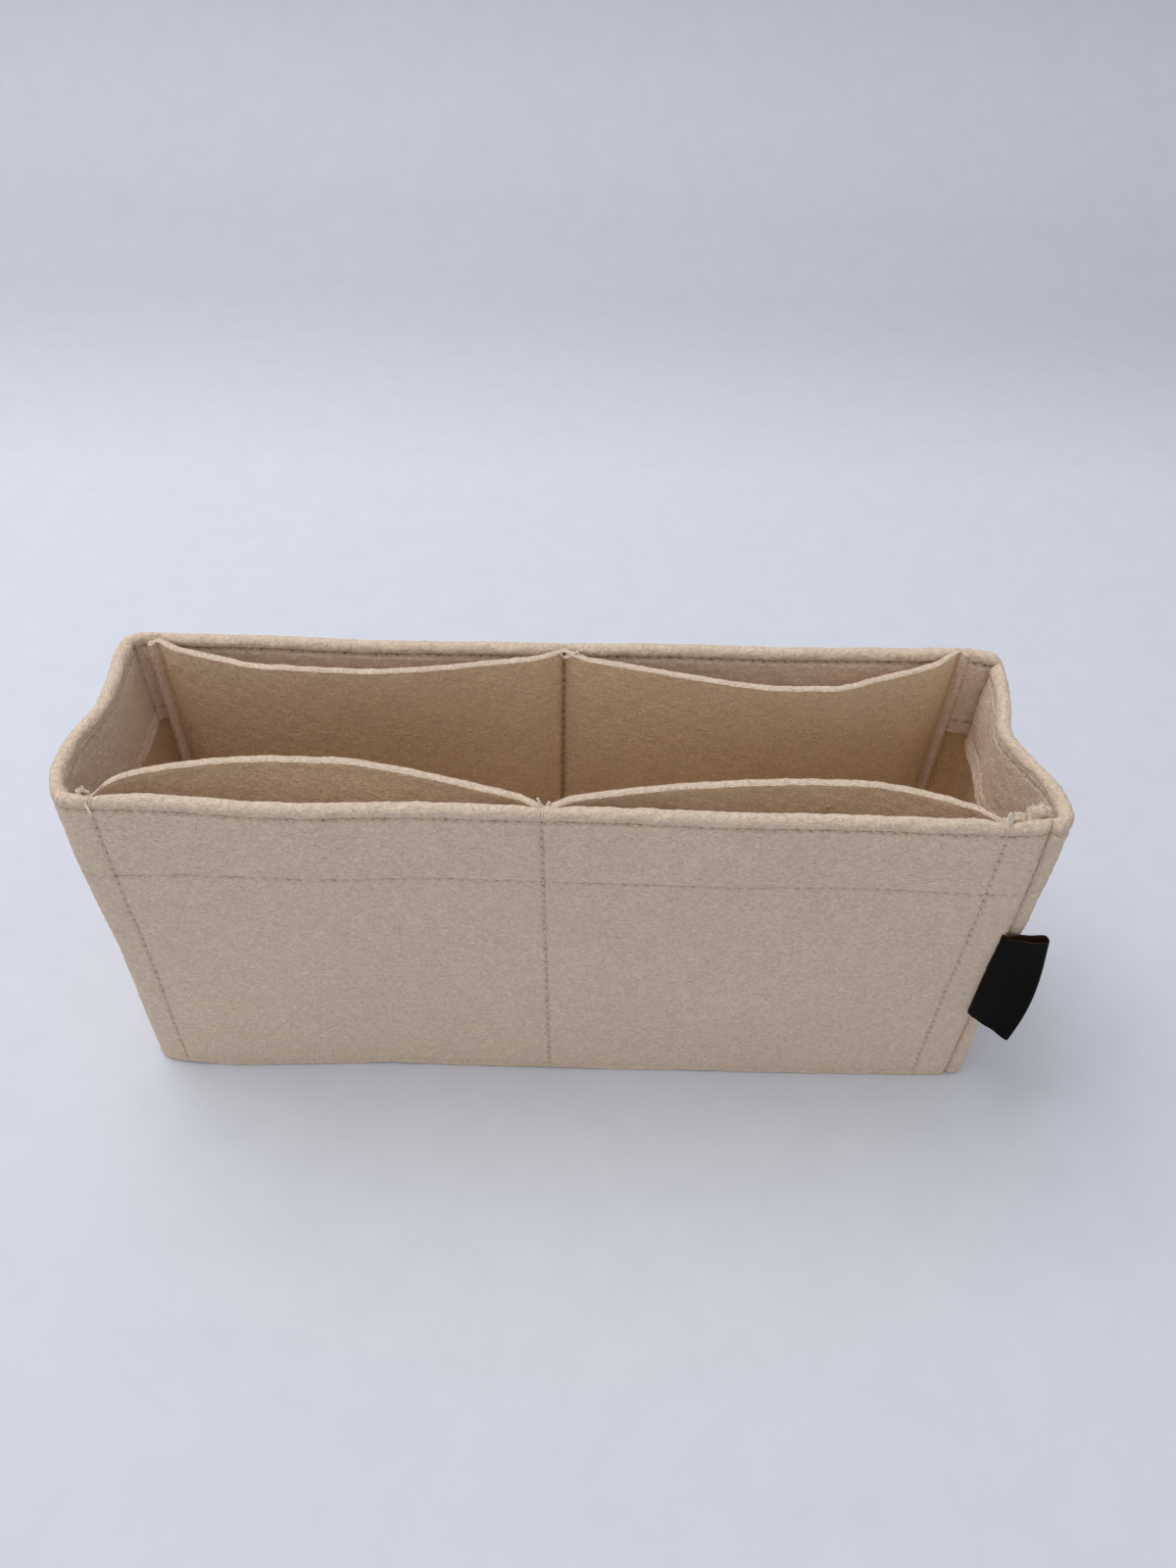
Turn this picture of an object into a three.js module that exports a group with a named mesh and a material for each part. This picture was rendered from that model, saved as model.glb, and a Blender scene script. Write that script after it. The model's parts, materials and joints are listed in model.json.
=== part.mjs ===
// Purse organizer insert: an open-topped felt box with four slip pockets and a folded ribbon label.
// Millimetres, +X along the length, +Y to the back, +Z up, origin on the table under the box's middle.
import * as THREE from 'three';

// Overall size
const LENGTH = 265;
const DEPTH = 72;
const HEIGHT = 118;

// Felt and the wrap's bends
const FELT = 2.1;
const BEND_RADIUS = 2.8;
const HEM_DEPTH = 31;
const SEAT_GAP = 0.3;

// How far each end is pressed in at the middle of its rim
const LEFT_END_DENT = 2;
const RIGHT_END_DENT = 8.5;

// Pockets: the drop of the mouth below the rim, the height of the foot, and the margin past a seam
const MOUTH_DROP = 1;
const POCKET_FOOT = 7;
const POCKET_MARGIN = 2.2;
const HEM_EASE = 6;

// Upright seams: distance of the side seams from the ends of the flat walls, and of the middle seams
// from the box's middle
const FRONT_LEFT_SEAM_INSET = 6.1;
const FRONT_RIGHT_SEAM_INSET = 11;
const FRONT_MIDDLE_SEAM = -4.2;
const BACK_LEFT_SEAM_INSET = 4.9;
const BACK_RIGHT_SEAM_INSET = 10.3;
const BACK_MIDDLE_SEAM = -0.4;

// Bulge of each pocket's mouth off its wall, and the lengths over which it rises from its two seams
const FRONT_LEFT_BULGE = { out: 15.6, leftRise: 47, rightRise: 67 };
const FRONT_RIGHT_BULGE = { out: 10.8, leftRise: 68, rightRise: 48 };
const BACK_LEFT_BULGE = { out: 9.2, leftRise: 38, rightRise: 54 };
const BACK_RIGHT_BULGE = { out: 12.4, leftRise: 66, rightRise: 33 };

// Sewing thread
const THREAD_WIDTH = 0.6;
const THREAD_HEIGHT = 0.4;
const THREAD_SEAT = 0.1;
const RIM_STITCH_DROP = 4.2;
const HEM_STITCH_INSET = 2.3;
const FOOT_STITCH_HEIGHT = 9;
const SEAM_TOP_DROP = 2.4;
const CLOSING_SEAM_INSET = 0.9;
const CREASE_CLEARANCE = 3;

// Label
const LABEL_WIDTH = 11.3;
const LABEL_HEIGHT = 38;
const LABEL_FOOT = 37;
const LABEL_THICKNESS = 0.8;
const LABEL_TURN_DEG = -22;

// Number of steps in the round shapes
const RIM_STEPS = 6;
const BEND_STEPS = 6;
const END_STEPS = 4;
const HEIGHT_STEPS = 5;
const RISE_STEPS = 7;

// Sizes that follow from those above
const HEM_THICKNESS = 2 * FELT;
const OUTER_BEND = BEND_RADIUS + HEM_THICKNESS;
const FLAT_HALF = LENGTH / 2 - OUTER_BEND;
const HALF_DEPTH = DEPTH / 2;
const END_FLAT_HALF = HALF_DEPTH - OUTER_BEND;
const HEM_FOOT = HEIGHT - HEM_DEPTH;
const HEM_STITCH_DROP = HEM_DEPTH - HEM_STITCH_INSET;
const MOUTH_HEIGHT = HEIGHT - MOUTH_DROP;
const BASE_TOP = FELT;

const FELT_COLOUR = 0xa89a8b;
const PANEL_COLOUR = 0x94795f;
const THREAD_COLOUR = 0xb5a28c;
const LABEL_COLOUR = 0x1f1914;

const object = new THREE.Group();
object.name = 'purse_organizer_insert';

function addPart(name, geometry, colour, roughness = 0.95) {
  const material = new THREE.MeshStandardMaterial({ color: colour, roughness, metalness: 0 });
  const mesh = new THREE.Mesh(geometry, material);
  mesh.name = name;
  object.add(mesh);
}

// Joins a row of equal closed rings into one solid, with its two end rings capped. A ring's points
// run counter-clockwise as seen from the last ring, and flat holds the ring's own outline.
function loftRings(rings, flat) {
  const count = flat.length;
  const positions = rings.flat().flatMap((point) => [point.x, point.y, point.z]);
  const triangles = [];
  for (let ring = 0; ring + 1 < rings.length; ring += 1) {
    for (let i = 0; i < count; i += 1) {
      const a = ring * count + i;
      const b = ring * count + ((i + 1) % count);
      triangles.push(a, b, b + count, a, b + count, a + count);
    }
  }
  const last = (rings.length - 1) * count;
  for (const [a, b, c] of THREE.ShapeUtils.triangulateShape(flat, [])) {
    triangles.push(a, c, b, last + a, last + b, last + c);
  }
  const geometry = new THREE.BufferGeometry();
  geometry.setAttribute('position', new THREE.Float32BufferAttribute(positions, 3));
  geometry.setIndex(triangles);
  geometry.computeVertexNormals();
  return geometry;
}

function spread(from, to, steps) {
  return Array.from({ length: steps + 1 }, (_, i) => from + ((to - from) * i) / steps);
}

// Outline of a wrap panel's section: x is the depth into the box from the outer face, y the height.
// The felt rises on the outside, rolls over at the rim and comes down inside as the hem's facing.
function wrapSection() {
  const rimCentre = HEIGHT - FELT;
  const stitchEdges = [HEM_STITCH_DROP, RIM_STITCH_DROP].flatMap((drop) => [
    HEIGHT - drop - THREAD_WIDTH / 2,
    HEIGHT - drop + THREAD_WIDTH / 2,
  ]);
  const plainHeights = spread(0, HEM_FOOT, HEIGHT_STEPS);
  const outside = [...plainHeights, ...stitchEdges, rimCentre].map((z) => new THREE.Vector2(0, z));
  const rim = spread(Math.PI, 0, RIM_STEPS).slice(1, -1).map(
    (angle) => new THREE.Vector2(FELT + FELT * Math.cos(angle), rimCentre + FELT * Math.sin(angle)),
  );
  const facing = spread(rimCentre, HEM_FOOT, 2).map((z) => new THREE.Vector2(HEM_THICKNESS, z));
  const inside = [...plainHeights].reverse().map((z) => new THREE.Vector2(FELT, z));
  return [...outside, ...rim, ...facing, ...inside];
}

// Outline of a thread that lies on the outer face at the given height.
function threadSection(height) {
  const low = height - THREAD_WIDTH / 2;
  const high = height + THREAD_WIDTH / 2;
  return [
    new THREE.Vector2(-THREAD_SEAT - THREAD_HEIGHT, low),
    new THREE.Vector2(-THREAD_SEAT - THREAD_HEIGHT, high),
    new THREE.Vector2(-THREAD_SEAT, high),
    new THREE.Vector2(-THREAD_SEAT, low),
  ];
}

// Outline of the base seam's thread, in the inner angle of the wrap and the base panel.
function baseSeamSection() {
  const near = FELT + SEAT_GAP;
  const far = near + THREAD_HEIGHT;
  return [
    new THREE.Vector2(near, BASE_TOP),
    new THREE.Vector2(near, BASE_TOP + THREAD_WIDTH),
    new THREE.Vector2(far, BASE_TOP + THREAD_WIDTH),
    new THREE.Vector2(far, BASE_TOP),
  ];
}

// Each wrap panel is swept along stations. A station places a section point, given as depth and
// height, in the box's frame.
function flatWallStations(side, halfLength) {
  return [-halfLength, halfLength].map((x) => (point) => (
    new THREE.Vector3(-side * x, side * (HALF_DEPTH - point.x), point.y)
  ));
}

// One half of an end: the bend from the long wall, then flat to the crease in the end's middle. The
// end's dent deepens towards the crease and the rim. A thread leaves out the bend's first station.
function endStations(endSide, wallSide, dent, firstStation, creaseGap) {
  const centreX = endSide * FLAT_HALF;
  const centreY = wallSide * END_FLAT_HALF;
  const angles = spread(SEAT_GAP / 2 / OUTER_BEND, Math.PI / 2, BEND_STEPS);
  const bend = angles.slice(firstStation).map((angle) => (point) => {
    const radius = OUTER_BEND - point.x;
    return new THREE.Vector3(
      centreX + endSide * radius * Math.sin(angle),
      centreY + wallSide * radius * Math.cos(angle),
      point.y,
    );
  });
  const flat = spread(END_FLAT_HALF, creaseGap, END_STEPS).slice(1).map((y) => (point) => {
    const pressed = dent * (1 - y / END_FLAT_HALF) * (point.y / HEIGHT) ** 2;
    return new THREE.Vector3(
      endSide * (LENGTH / 2 - point.x - pressed),
      wallSide * y,
      point.y,
    );
  });
  const stations = [...bend, ...flat];
  return endSide * wallSide > 0 ? stations.reverse() : stations;
}

function sweep(stations, section) {
  const outline = [...section].reverse();
  return loftRings(stations.map((place) => outline.map(place)), outline);
}

// Wrap panels with their rim, hem and base threads
const flatWalls = [
  { name: 'front', side: -1 },
  { name: 'back', side: 1 },
];
const endHalves = [
  { name: 'left_end_front', endSide: -1, wallSide: -1, dent: LEFT_END_DENT },
  { name: 'left_end_rear', endSide: -1, wallSide: 1, dent: LEFT_END_DENT },
  { name: 'right_end_rear', endSide: 1, wallSide: 1, dent: RIGHT_END_DENT },
  { name: 'right_end_front', endSide: 1, wallSide: -1, dent: RIGHT_END_DENT },
];
const threads = [
  { name: 'rim_stitch', section: threadSection(HEIGHT - RIM_STITCH_DROP) },
  { name: 'hem_stitch', section: threadSection(HEIGHT - HEM_STITCH_DROP) },
  { name: 'base_seam', section: baseSeamSection() },
];
const wallHalfLength = FLAT_HALF - SEAT_GAP / 2;
const threadHalfLength = FLAT_HALF - 2 * CLOSING_SEAM_INSET;
for (const { name, side } of flatWalls) {
  addPart(`${name}_wall`, sweep(flatWallStations(side, wallHalfLength), wrapSection()), FELT_COLOUR);
  for (const thread of threads) {
    const stations = flatWallStations(side, threadHalfLength);
    addPart(`${name}_${thread.name}`, sweep(stations, thread.section), THREAD_COLOUR);
  }
}
for (const { name, endSide, wallSide, dent } of endHalves) {
  const panel = endStations(endSide, wallSide, dent, 0, SEAT_GAP / 2);
  addPart(name, sweep(panel, wrapSection()), FELT_COLOUR);
  for (const thread of threads) {
    const stations = endStations(endSide, wallSide, dent, 1, CREASE_CLEARANCE);
    addPart(`${name}_${thread.name}`, sweep(stations, thread.section), THREAD_COLOUR);
  }
}

// Base panel, a rounded rectangle of felt inside the wrap's lower edge
function basePanel() {
  const halfX = LENGTH / 2 - FELT - SEAT_GAP;
  const halfY = HALF_DEPTH - FELT - SEAT_GAP;
  const radius = OUTER_BEND - FELT - SEAT_GAP;
  const outline = new THREE.Shape();
  outline.moveTo(-halfX + radius, -halfY);
  outline.absarc(halfX - radius, -halfY + radius, radius, -Math.PI / 2, 0);
  outline.absarc(halfX - radius, halfY - radius, radius, 0, Math.PI / 2);
  outline.absarc(-halfX + radius, halfY - radius, radius, Math.PI / 2, Math.PI);
  outline.absarc(-halfX + radius, -halfY + radius, radius, Math.PI, 1.5 * Math.PI);
  return new THREE.ExtrudeGeometry(outline, {
    depth: BASE_TOP,
    bevelEnabled: false,
    curveSegments: BEND_STEPS,
  });
}
addPart('base_panel', basePanel(), PANEL_COLOUR);

// Share of the full bulge at this share of the rise from a seam
function swell(share) {
  return Math.sin((Math.PI / 2) * THREE.MathUtils.clamp(share, 0, 1));
}

// A pocket panel hangs on the wall's inner face, bulging from nothing at its foot and seams to its
// full depth at the mouth.
function pocketPanel(side, leftSeam, rightSeam, leftEdge, rightEdge, bulge) {
  const width = rightSeam - leftSeam;
  const fit = Math.min(1, width / (bulge.leftRise + bulge.rightRise));
  const wallDepth = (z) => {
    const share = (z - (HEM_FOOT - HEM_EASE)) / (HEM_EASE - SEAT_GAP);
    return FELT + SEAT_GAP + (HEM_THICKNESS - FELT) * THREE.MathUtils.clamp(share, 0, 1);
  };
  const bulgeAt = (x, z) => {
    const fromLeft = swell((x - leftSeam) / (bulge.leftRise * fit));
    const fromRight = swell((rightSeam - x) / (bulge.rightRise * fit));
    return bulge.out * Math.min(fromLeft, fromRight) * ((z - POCKET_FOOT) / (MOUTH_HEIGHT - POCKET_FOOT));
  };
  const lower = spread(POCKET_FOOT, HEM_FOOT - HEM_EASE, 2);
  const upper = spread(HEM_FOOT - SEAT_GAP, MOUTH_HEIGHT, 2);
  const heights = [...lower, ...upper];
  const outline = [
    ...heights.map((z) => new THREE.Vector2(wallDepth(z), z)),
    ...[...heights].reverse().map((z) => new THREE.Vector2(wallDepth(z) + FELT, z)),
  ];
  const rises = [
    ...spread(leftSeam, leftSeam + bulge.leftRise * fit, RISE_STEPS),
    ...spread(rightSeam - bulge.rightRise * fit, rightSeam, RISE_STEPS),
  ];
  const inside = rises.filter((x) => x > leftEdge + SEAT_GAP && x < rightEdge - SEAT_GAP);
  const across = [leftEdge, ...inside, rightEdge];
  const distinct = across.filter((x, i) => i === 0 || x > across[i - 1] + SEAT_GAP);
  const stations = distinct.map((x) => (point) => {
    const depth = point.x + bulgeAt(x, point.y);
    return new THREE.Vector3(x, side * (HALF_DEPTH - depth), point.y);
  });
  return sweep(side > 0 ? stations.reverse() : stations, outline);
}

// A seam's upright thread on a wall's outer face, stepping over the two level threads that it crosses
function uprightThread(x, side) {
  const low = FOOT_STITCH_HEIGHT + THREAD_WIDTH / 2 + SEAT_GAP;
  const high = HEIGHT - SEAM_TOP_DROP;
  const halfCrossing = THREAD_WIDTH / 2 + SEAT_GAP;
  const crossings = [HEIGHT - HEM_STITCH_DROP, HEIGHT - RIM_STITCH_DROP];
  const lift = THREAD_SEAT + THREAD_HEIGHT + SEAT_GAP;
  const stepOver = crossings.flatMap((z) => [
    new THREE.Vector2(0, z - halfCrossing),
    new THREE.Vector2(-lift, z - halfCrossing),
    new THREE.Vector2(-lift, z + halfCrossing),
    new THREE.Vector2(0, z + halfCrossing),
  ]);
  const inner = [new THREE.Vector2(0, low), ...stepOver, new THREE.Vector2(0, high)];
  const outer = crossings.flatMap((z) => [
    new THREE.Vector2(-THREAD_HEIGHT, z - halfCrossing - THREAD_HEIGHT),
    new THREE.Vector2(-lift - THREAD_HEIGHT, z - halfCrossing - THREAD_HEIGHT),
    new THREE.Vector2(-lift - THREAD_HEIGHT, z + halfCrossing + THREAD_HEIGHT),
    new THREE.Vector2(-THREAD_HEIGHT, z + halfCrossing + THREAD_HEIGHT),
  ]);
  const outline = [
    new THREE.Vector2(-THREAD_HEIGHT, low),
    ...outer,
    new THREE.Vector2(-THREAD_HEIGHT, high),
    ...inner.reverse(),
  ];
  const stations = [x - THREAD_WIDTH / 2, x + THREAD_WIDTH / 2].map((across) => (point) => (
    new THREE.Vector3(across, side * (HALF_DEPTH - point.x), point.y)
  ));
  return sweep(side > 0 ? stations.reverse() : stations, outline);
}

// The level thread along the foot of a pocket panel, on the wall's outer face
function footThread(leftSeam, rightSeam, side) {
  const stations = [leftSeam, rightSeam].map((x) => (point) => (
    new THREE.Vector3(x, side * (HALF_DEPTH - point.x), point.y)
  ));
  return sweep(side > 0 ? stations.reverse() : stations, threadSection(FOOT_STITCH_HEIGHT));
}

const pocketPanels = [
  {
    name: 'front',
    side: -1,
    left: -FLAT_HALF + FRONT_LEFT_SEAM_INSET,
    middle: FRONT_MIDDLE_SEAM,
    right: FLAT_HALF - FRONT_RIGHT_SEAM_INSET,
    leftBulge: FRONT_LEFT_BULGE,
    rightBulge: FRONT_RIGHT_BULGE,
  },
  {
    name: 'back',
    side: 1,
    left: -FLAT_HALF + BACK_LEFT_SEAM_INSET,
    middle: BACK_MIDDLE_SEAM,
    right: FLAT_HALF - BACK_RIGHT_SEAM_INSET,
    leftBulge: BACK_LEFT_BULGE,
    rightBulge: BACK_RIGHT_BULGE,
  },
];
for (const { name, side, left, middle, right, leftBulge, rightBulge } of pocketPanels) {
  const middleLeft = middle - SEAT_GAP / 2;
  const middleRight = middle + SEAT_GAP / 2;
  const leftPocket = pocketPanel(side, left, middle, left - POCKET_MARGIN, middleLeft, leftBulge);
  const rightPocket = pocketPanel(side, middle, right, middleRight, right + POCKET_MARGIN, rightBulge);
  addPart(`${name}_left_pocket`, leftPocket, PANEL_COLOUR);
  addPart(`${name}_right_pocket`, rightPocket, PANEL_COLOUR);
  for (const [place, x] of [['left', left], ['middle', middle], ['right', right]]) {
    addPart(`${name}_${place}_pocket_seam`, uprightThread(x, side), THREAD_COLOUR);
  }
  addPart(`${name}_pocket_foot_seam`, footThread(left, right, side), THREAD_COLOUR);
}

// Closing seam of the wrap, along the front wall's right edge
function closingSeam() {
  const seam = new THREE.BoxGeometry(THREAD_WIDTH, THREAD_HEIGHT, HEIGHT - 2 * SEAM_TOP_DROP);
  const x = FLAT_HALF - CLOSING_SEAM_INSET;
  return seam.translate(x, -HALF_DEPTH - THREAD_HEIGHT / 2, HEIGHT / 2);
}
addPart('closing_seam', closingSeam(), THREAD_COLOUR);

// Ribbon label, folded double with its fold outwards and its two ends in the closing seam
function ribbonLabel() {
  const half = LABEL_THICKNESS / 2;
  const outline = new THREE.Shape();
  outline.moveTo(0, -half);
  outline.lineTo(LABEL_WIDTH - half, -half);
  outline.absarc(LABEL_WIDTH - half, 0, half, -Math.PI / 2, Math.PI / 2);
  outline.lineTo(0, half);
  const label = new THREE.ExtrudeGeometry(outline, {
    depth: LABEL_HEIGHT,
    bevelEnabled: false,
    curveSegments: BEND_STEPS,
  });
  label.rotateZ(THREE.MathUtils.degToRad(LABEL_TURN_DEG));
  const seat = HALF_DEPTH + LABEL_THICKNESS + SEAT_GAP;
  return label.translate(FLAT_HALF - CLOSING_SEAM_INSET + THREAD_WIDTH, -seat, LABEL_FOOT);
}
addPart('ribbon_label', ribbonLabel(), LABEL_COLOUR, 0.5);

export default object;
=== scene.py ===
"""Looks of the purse organizer insert: felt wrap, pockets, stitching and ribbon label.

Shapes are worked out in millimetres and turned into metres when a mesh is made. Depth means the distance
from the wrap's outer face into the box. The wrap is followed by u, the length along its outer face from the
closing seam at the right front corner, along the front, the left end, the back and the right end.
"""

import json
import math

import bpy
import numpy as np
from mathutils import Matrix, Vector


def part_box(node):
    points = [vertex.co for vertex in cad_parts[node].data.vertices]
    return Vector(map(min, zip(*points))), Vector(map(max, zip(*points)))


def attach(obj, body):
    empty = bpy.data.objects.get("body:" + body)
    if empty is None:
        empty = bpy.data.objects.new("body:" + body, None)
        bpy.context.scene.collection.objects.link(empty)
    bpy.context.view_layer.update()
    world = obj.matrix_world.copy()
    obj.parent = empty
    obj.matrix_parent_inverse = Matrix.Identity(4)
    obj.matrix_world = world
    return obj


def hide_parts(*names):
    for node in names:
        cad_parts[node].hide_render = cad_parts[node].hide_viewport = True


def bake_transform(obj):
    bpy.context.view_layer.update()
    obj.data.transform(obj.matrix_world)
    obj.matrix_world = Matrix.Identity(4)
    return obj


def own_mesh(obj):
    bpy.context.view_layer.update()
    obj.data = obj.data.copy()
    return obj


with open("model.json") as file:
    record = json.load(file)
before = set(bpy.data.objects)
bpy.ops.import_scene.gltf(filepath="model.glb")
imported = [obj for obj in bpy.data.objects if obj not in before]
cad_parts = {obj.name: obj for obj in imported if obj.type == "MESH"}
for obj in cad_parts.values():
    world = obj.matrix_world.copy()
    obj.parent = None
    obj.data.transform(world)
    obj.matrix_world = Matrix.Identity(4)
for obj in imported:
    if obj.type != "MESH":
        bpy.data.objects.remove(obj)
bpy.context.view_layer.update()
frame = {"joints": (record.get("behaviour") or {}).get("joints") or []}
MM = 0.001

# Sizes taken from the frame
WALL_LOW, WALL_HIGH = (np.array(corner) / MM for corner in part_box("front_wall"))
END_LOW, _ = (np.array(corner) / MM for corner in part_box("left_end_front"))
BASE_LOW, BASE_HIGH = (np.array(corner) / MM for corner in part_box("base_panel"))
POCKET_LOW, POCKET_HIGH = (np.array(corner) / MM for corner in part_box("front_left_pocket"))
JOINTS = {joint["name"]: joint for joint in frame["joints"]}
HEIGHT = WALL_HIGH[2]
HALF_DEPTH = -WALL_LOW[1]
HEM_THICKNESS = WALL_HIGH[1] - WALL_LOW[1]
FELT = HEM_THICKNESS / 2
HALF_LENGTH = -END_LOW[0]
FLAT_HALF = -JOINTS["fold_flat"]["pos_m"][0] / MM
BEND = HALF_LENGTH - FLAT_HALF
END_FLAT_HALF = HALF_DEPTH - BEND
MOUTH_HEIGHT = POCKET_HIGH[2]
POCKET_FOOT = POCKET_LOW[2]

# Wrap
HEM_DEPTH = 31.0
RIM_STITCH_HEIGHT = HEIGHT - 3.6
HEM_STITCH_HEIGHT = HEIGHT - 26.4
RIM_RADIUS = 2.1
RIM_WRAP_DEG = 32
INNER_RIM_WRAP_DEG = 12
RIM_STEPS = 22
LINING_ROWS = 34
WALL_FOOT = 0.5
FOOT_UNDER = 0.02
FOOT_ROUND = 0.45
FOOT_LIFT = 0.5
FOOT_LIFT_HEIGHT = 8.0
STILL_HEIGHT = 25.0
RIM_SEAM_DEPTH = 0.35
RIM_SEAM_WIDTH = 1.1
VALLEY_DEPTH = 0.9
VALLEY_WIDTH = 1.3

# How far the wrap's panels reach from its corners and creases, and where they bend
CORNER_REACH = 17.5
CREASE_REACH = 16.0
CORNER_INSIDE = 1.5
CORNER_BLEND = 9.5
CREASE_BLEND = 9.0

# How the turned-in hem bunches up beside the back right corner
CORNER_BUNCH = 1.5
BUNCH_AT = 3.0
BUNCH_WIDTH = 8.0
BUNCH_EASE = 16.0

# The hem's free lip, and how strong the stitch marks are on the wrap's inner face
LIP_HEIGHT = 4.6
LIP_FLARE = 0.3
LIP_ROUND = 0.35
LIP_BACK = 0.5
LIP_STEP = 0.3
INNER_MARKS = 1.4
END_MARKS = 0.6
END_RIM_DROP = 0.9
SEAM_TURN = 2.6
SEAM_TURN_DEPTH = 1.7

# Lattice of the felt meshes, with fine lines beside the seams
FINE_LINES = 5
FINE_STEP = 0.4
FINE_CLEARANCE = 0.2
FINE_SHARE = 0.45
SHARP_DEG = 66
THREAD_SHARP_DEG = 80

# Random waves: seed, width and for some the height. The lumps' seeds count on from each piece's own.
WALL_WAVES = ((11, 70, 0.35), (12, 18, 0.05))
FELT_LUMPS = ((0, 3.2, 0.06), (1, 7, 0.05))
WRAP_LUMPS, POCKET_LUMPS, BASE_LUMPS = 21, 51, 61
FOOT_WAVE = (31, 45)
LEVEL_WAVE = (41, 9)
UPRIGHT_WAVE = (42, 9)
CLOSING_WAVE = (43, 8)
HOLE_WAVE = (44, 11)
FRAY_WAVE = (53, 1.6)
NUB_WAVES = ((71, 2.4), (72, 1.1))
STRIP_WAVE = (81, 22)
WAVE_COUNT = 9
SLOWEST_WAVE = 0.6
WAVE_SPREAD = 0.8

# Shift between the lumps of a felt's two faces
FACE_SHIFT = 300

# Stitching
STITCH_PITCH = 3.1
COLUMN_STEP = STITCH_PITCH / 5
ROW_STEP = STITCH_PITCH / 3
THREAD_RADIUS = 0.22
THREAD_SIDES = 6
STITCH_POINTS = 7
STITCH_SPAN = (0.17, 0.83)
STITCH_ARCH = 0.62
ARCH_POWER = 0.6
ARCH_SINK = 0.36
LEVEL_WANDER = 0.12
UPRIGHT_WANDER = 0.1
# Needle holes dent the felt and are darkened with painted shade; a weaker painted shade runs along the row
# between them
HOLE_DEPTH = 0.4
HOLE_LENGTH = 0.75
HOLE_WIDTH = 0.42
HOLE_VARIATION = 0.18
CREASE_SHADE = 0.25
FOOT_STITCH_HEIGHT = 3.0
BASE_STITCH_HEIGHT = 3.2

# How deep each kind of stitch lies in the felt
RIM_SUNK = 0.5
SEAM_SUNK = 0.3
BASE_SUNK = 0.05
PANEL_SUNK = 1.1
CLOSING_SUNK = 0.25

# Depth and width of each seam's groove, and strength of its needle holes, which dent the felt and carry
# painted shade
RIM_GROOVE = (0.5, 0.6, 0.75)
HEM_GROOVE = (0.12, 0.7, 0.6)
UPRIGHT_GROOVE = (0.26, 1.1, 0.85)
FOOT_GROOVE = (0.05, 0.7, 0.25)
MIDDLE_GROOVE = (1.2, 0.8, 0.8)
SIDE_GROOVE = (0.9, 1.5, 0.15)

# The last stitches of an upright seam, over the rolled rim
OVER_RIM_DEG = 150
OVER_RIM_SUNK = 0.15
OVER_RIM_SHIFTS = (-0.35, 0.4)
OVER_RIM_SWAY = 0.15
OVER_RIM_TURNS = 3

# Where upright rows start and how far under the top they stop
UPRIGHT_FOOT = 1.0
PANEL_TOP_GAP = 1.5
CLOSING_FOOT = 2.5
CLOSING_TOP_GAP = 2.0
CLOSING_AT = 0.55

# Pockets: seams across the box, and for each pocket its bulge, the lengths over which it rises from the left
# and right seams, how straight each rise is, and how far the mouth stands up at each seam
FRONT_SEAMS = (-119.4, -4.2, 114.5)
BACK_SEAMS = (-120.6, -1.0, 115.2)
POCKET_MARGIN = 2.6
MARGIN_RIDGE = 0.7
MARGIN_DROP = 0.5
MOUTH_FLARE = 0.5
MOUTH_FLARE_REACH = 4.0
POCKET_PINCH = 1.4
SEAT_GAP = 0.3
POCKET_STEP = 1.2
CUT_ROUND = 0.4
FRAY_HEIGHT = 0.10
FRAY_STRETCH = 9
# Painted shade down the middle seam of each pair of pockets
SEAM_SHADE = 0.5
MARGIN_SHARE = 0.2
BULGES = {
    "front_left_pocket": (14.9, 41.0, 54.0, 0.5, 1.0, 0.0, 0.0),
    "front_right_pocket": (10.5, 71.0, 38.0, 0.0, 0.0, 0.0, 0.0),
    "back_left_pocket": (9.2, 30.4, 54.6, 1.0, 0.44, 0.0, 0.1),
    "back_right_pocket": (13.6, 58.7, 36.6, 0.54, 1.0, 0.1, 0.8),
}
KINK_SHARPNESS = 20.0
SHARP_KINKS = {"back_right_pocket": 45.0}
STEEP_STARTS = {"front_left_pocket": 0.26}
STEEP_REACH = 1.4
MOUTH_LIFT_REACH = 15.0
MOUTH_LIFT_POWER = 4

# Base panel's mesh, and its underside's height
BASE_COLUMNS = 180
BASE_ROWS = 46
BASE_UNDER = 0.3

# How far each end is pressed in at the rim, against the length from its crease
LEFT_END_SHAPE = ((-50, 0), (-38, -0.4), (-29, -1.2), (-23, -2.2), (-17, -2.5), (-12, -2.1), (-8, -1.5),
                  (-4, -0.4), (4, 1.4), (13, 1.0), (22, 0.0), (29, -0.6), (45, 0))
RIGHT_END_SHAPE = ((-58, 0), (-42, 2.0), (-31, 3.7), (-22, 4.5), (-14, 5.8), (-5, 8.0), (-1, 8.4), (3, 7.5),
                   (7, 5.8), (11, 4.1), (14, 2.4), (18, 0.8), (22, -0.2), (26, -0.6), (40, 0))
SHAPE_SOFTNESS = 3.0
SOFT_SAMPLES = 7
SOFT_TAPER = 2.4
LEFT_END_INSET = 1.2
LEFT_DENT_POWER = 2.0
RIGHT_DENT_POWER = 1.3

# How far the front's foot stands out, against u
FRONT_FOOT_SHAPE = ((0, 0), (15, 0.2), (60, 0.4), (130, 0.3), (180, -0.3), (215, 1.2), (232, 1.6),
                    (251, 0.8), (262, 0))
FRONT_FOOT_HEIGHT = 45.0

# Extra rounding of the front left corner
CORNER_INSET = 1.5
CORNER_INSET_WIDTH = 7.0

# How far the upright seams pull the rim down
FRONT_RIM_DIP = 0.25
BACK_RIM_DIP = 0.3
RIM_DIP_WIDTH = 1.9
RIM_DIP_POWER = 8

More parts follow.
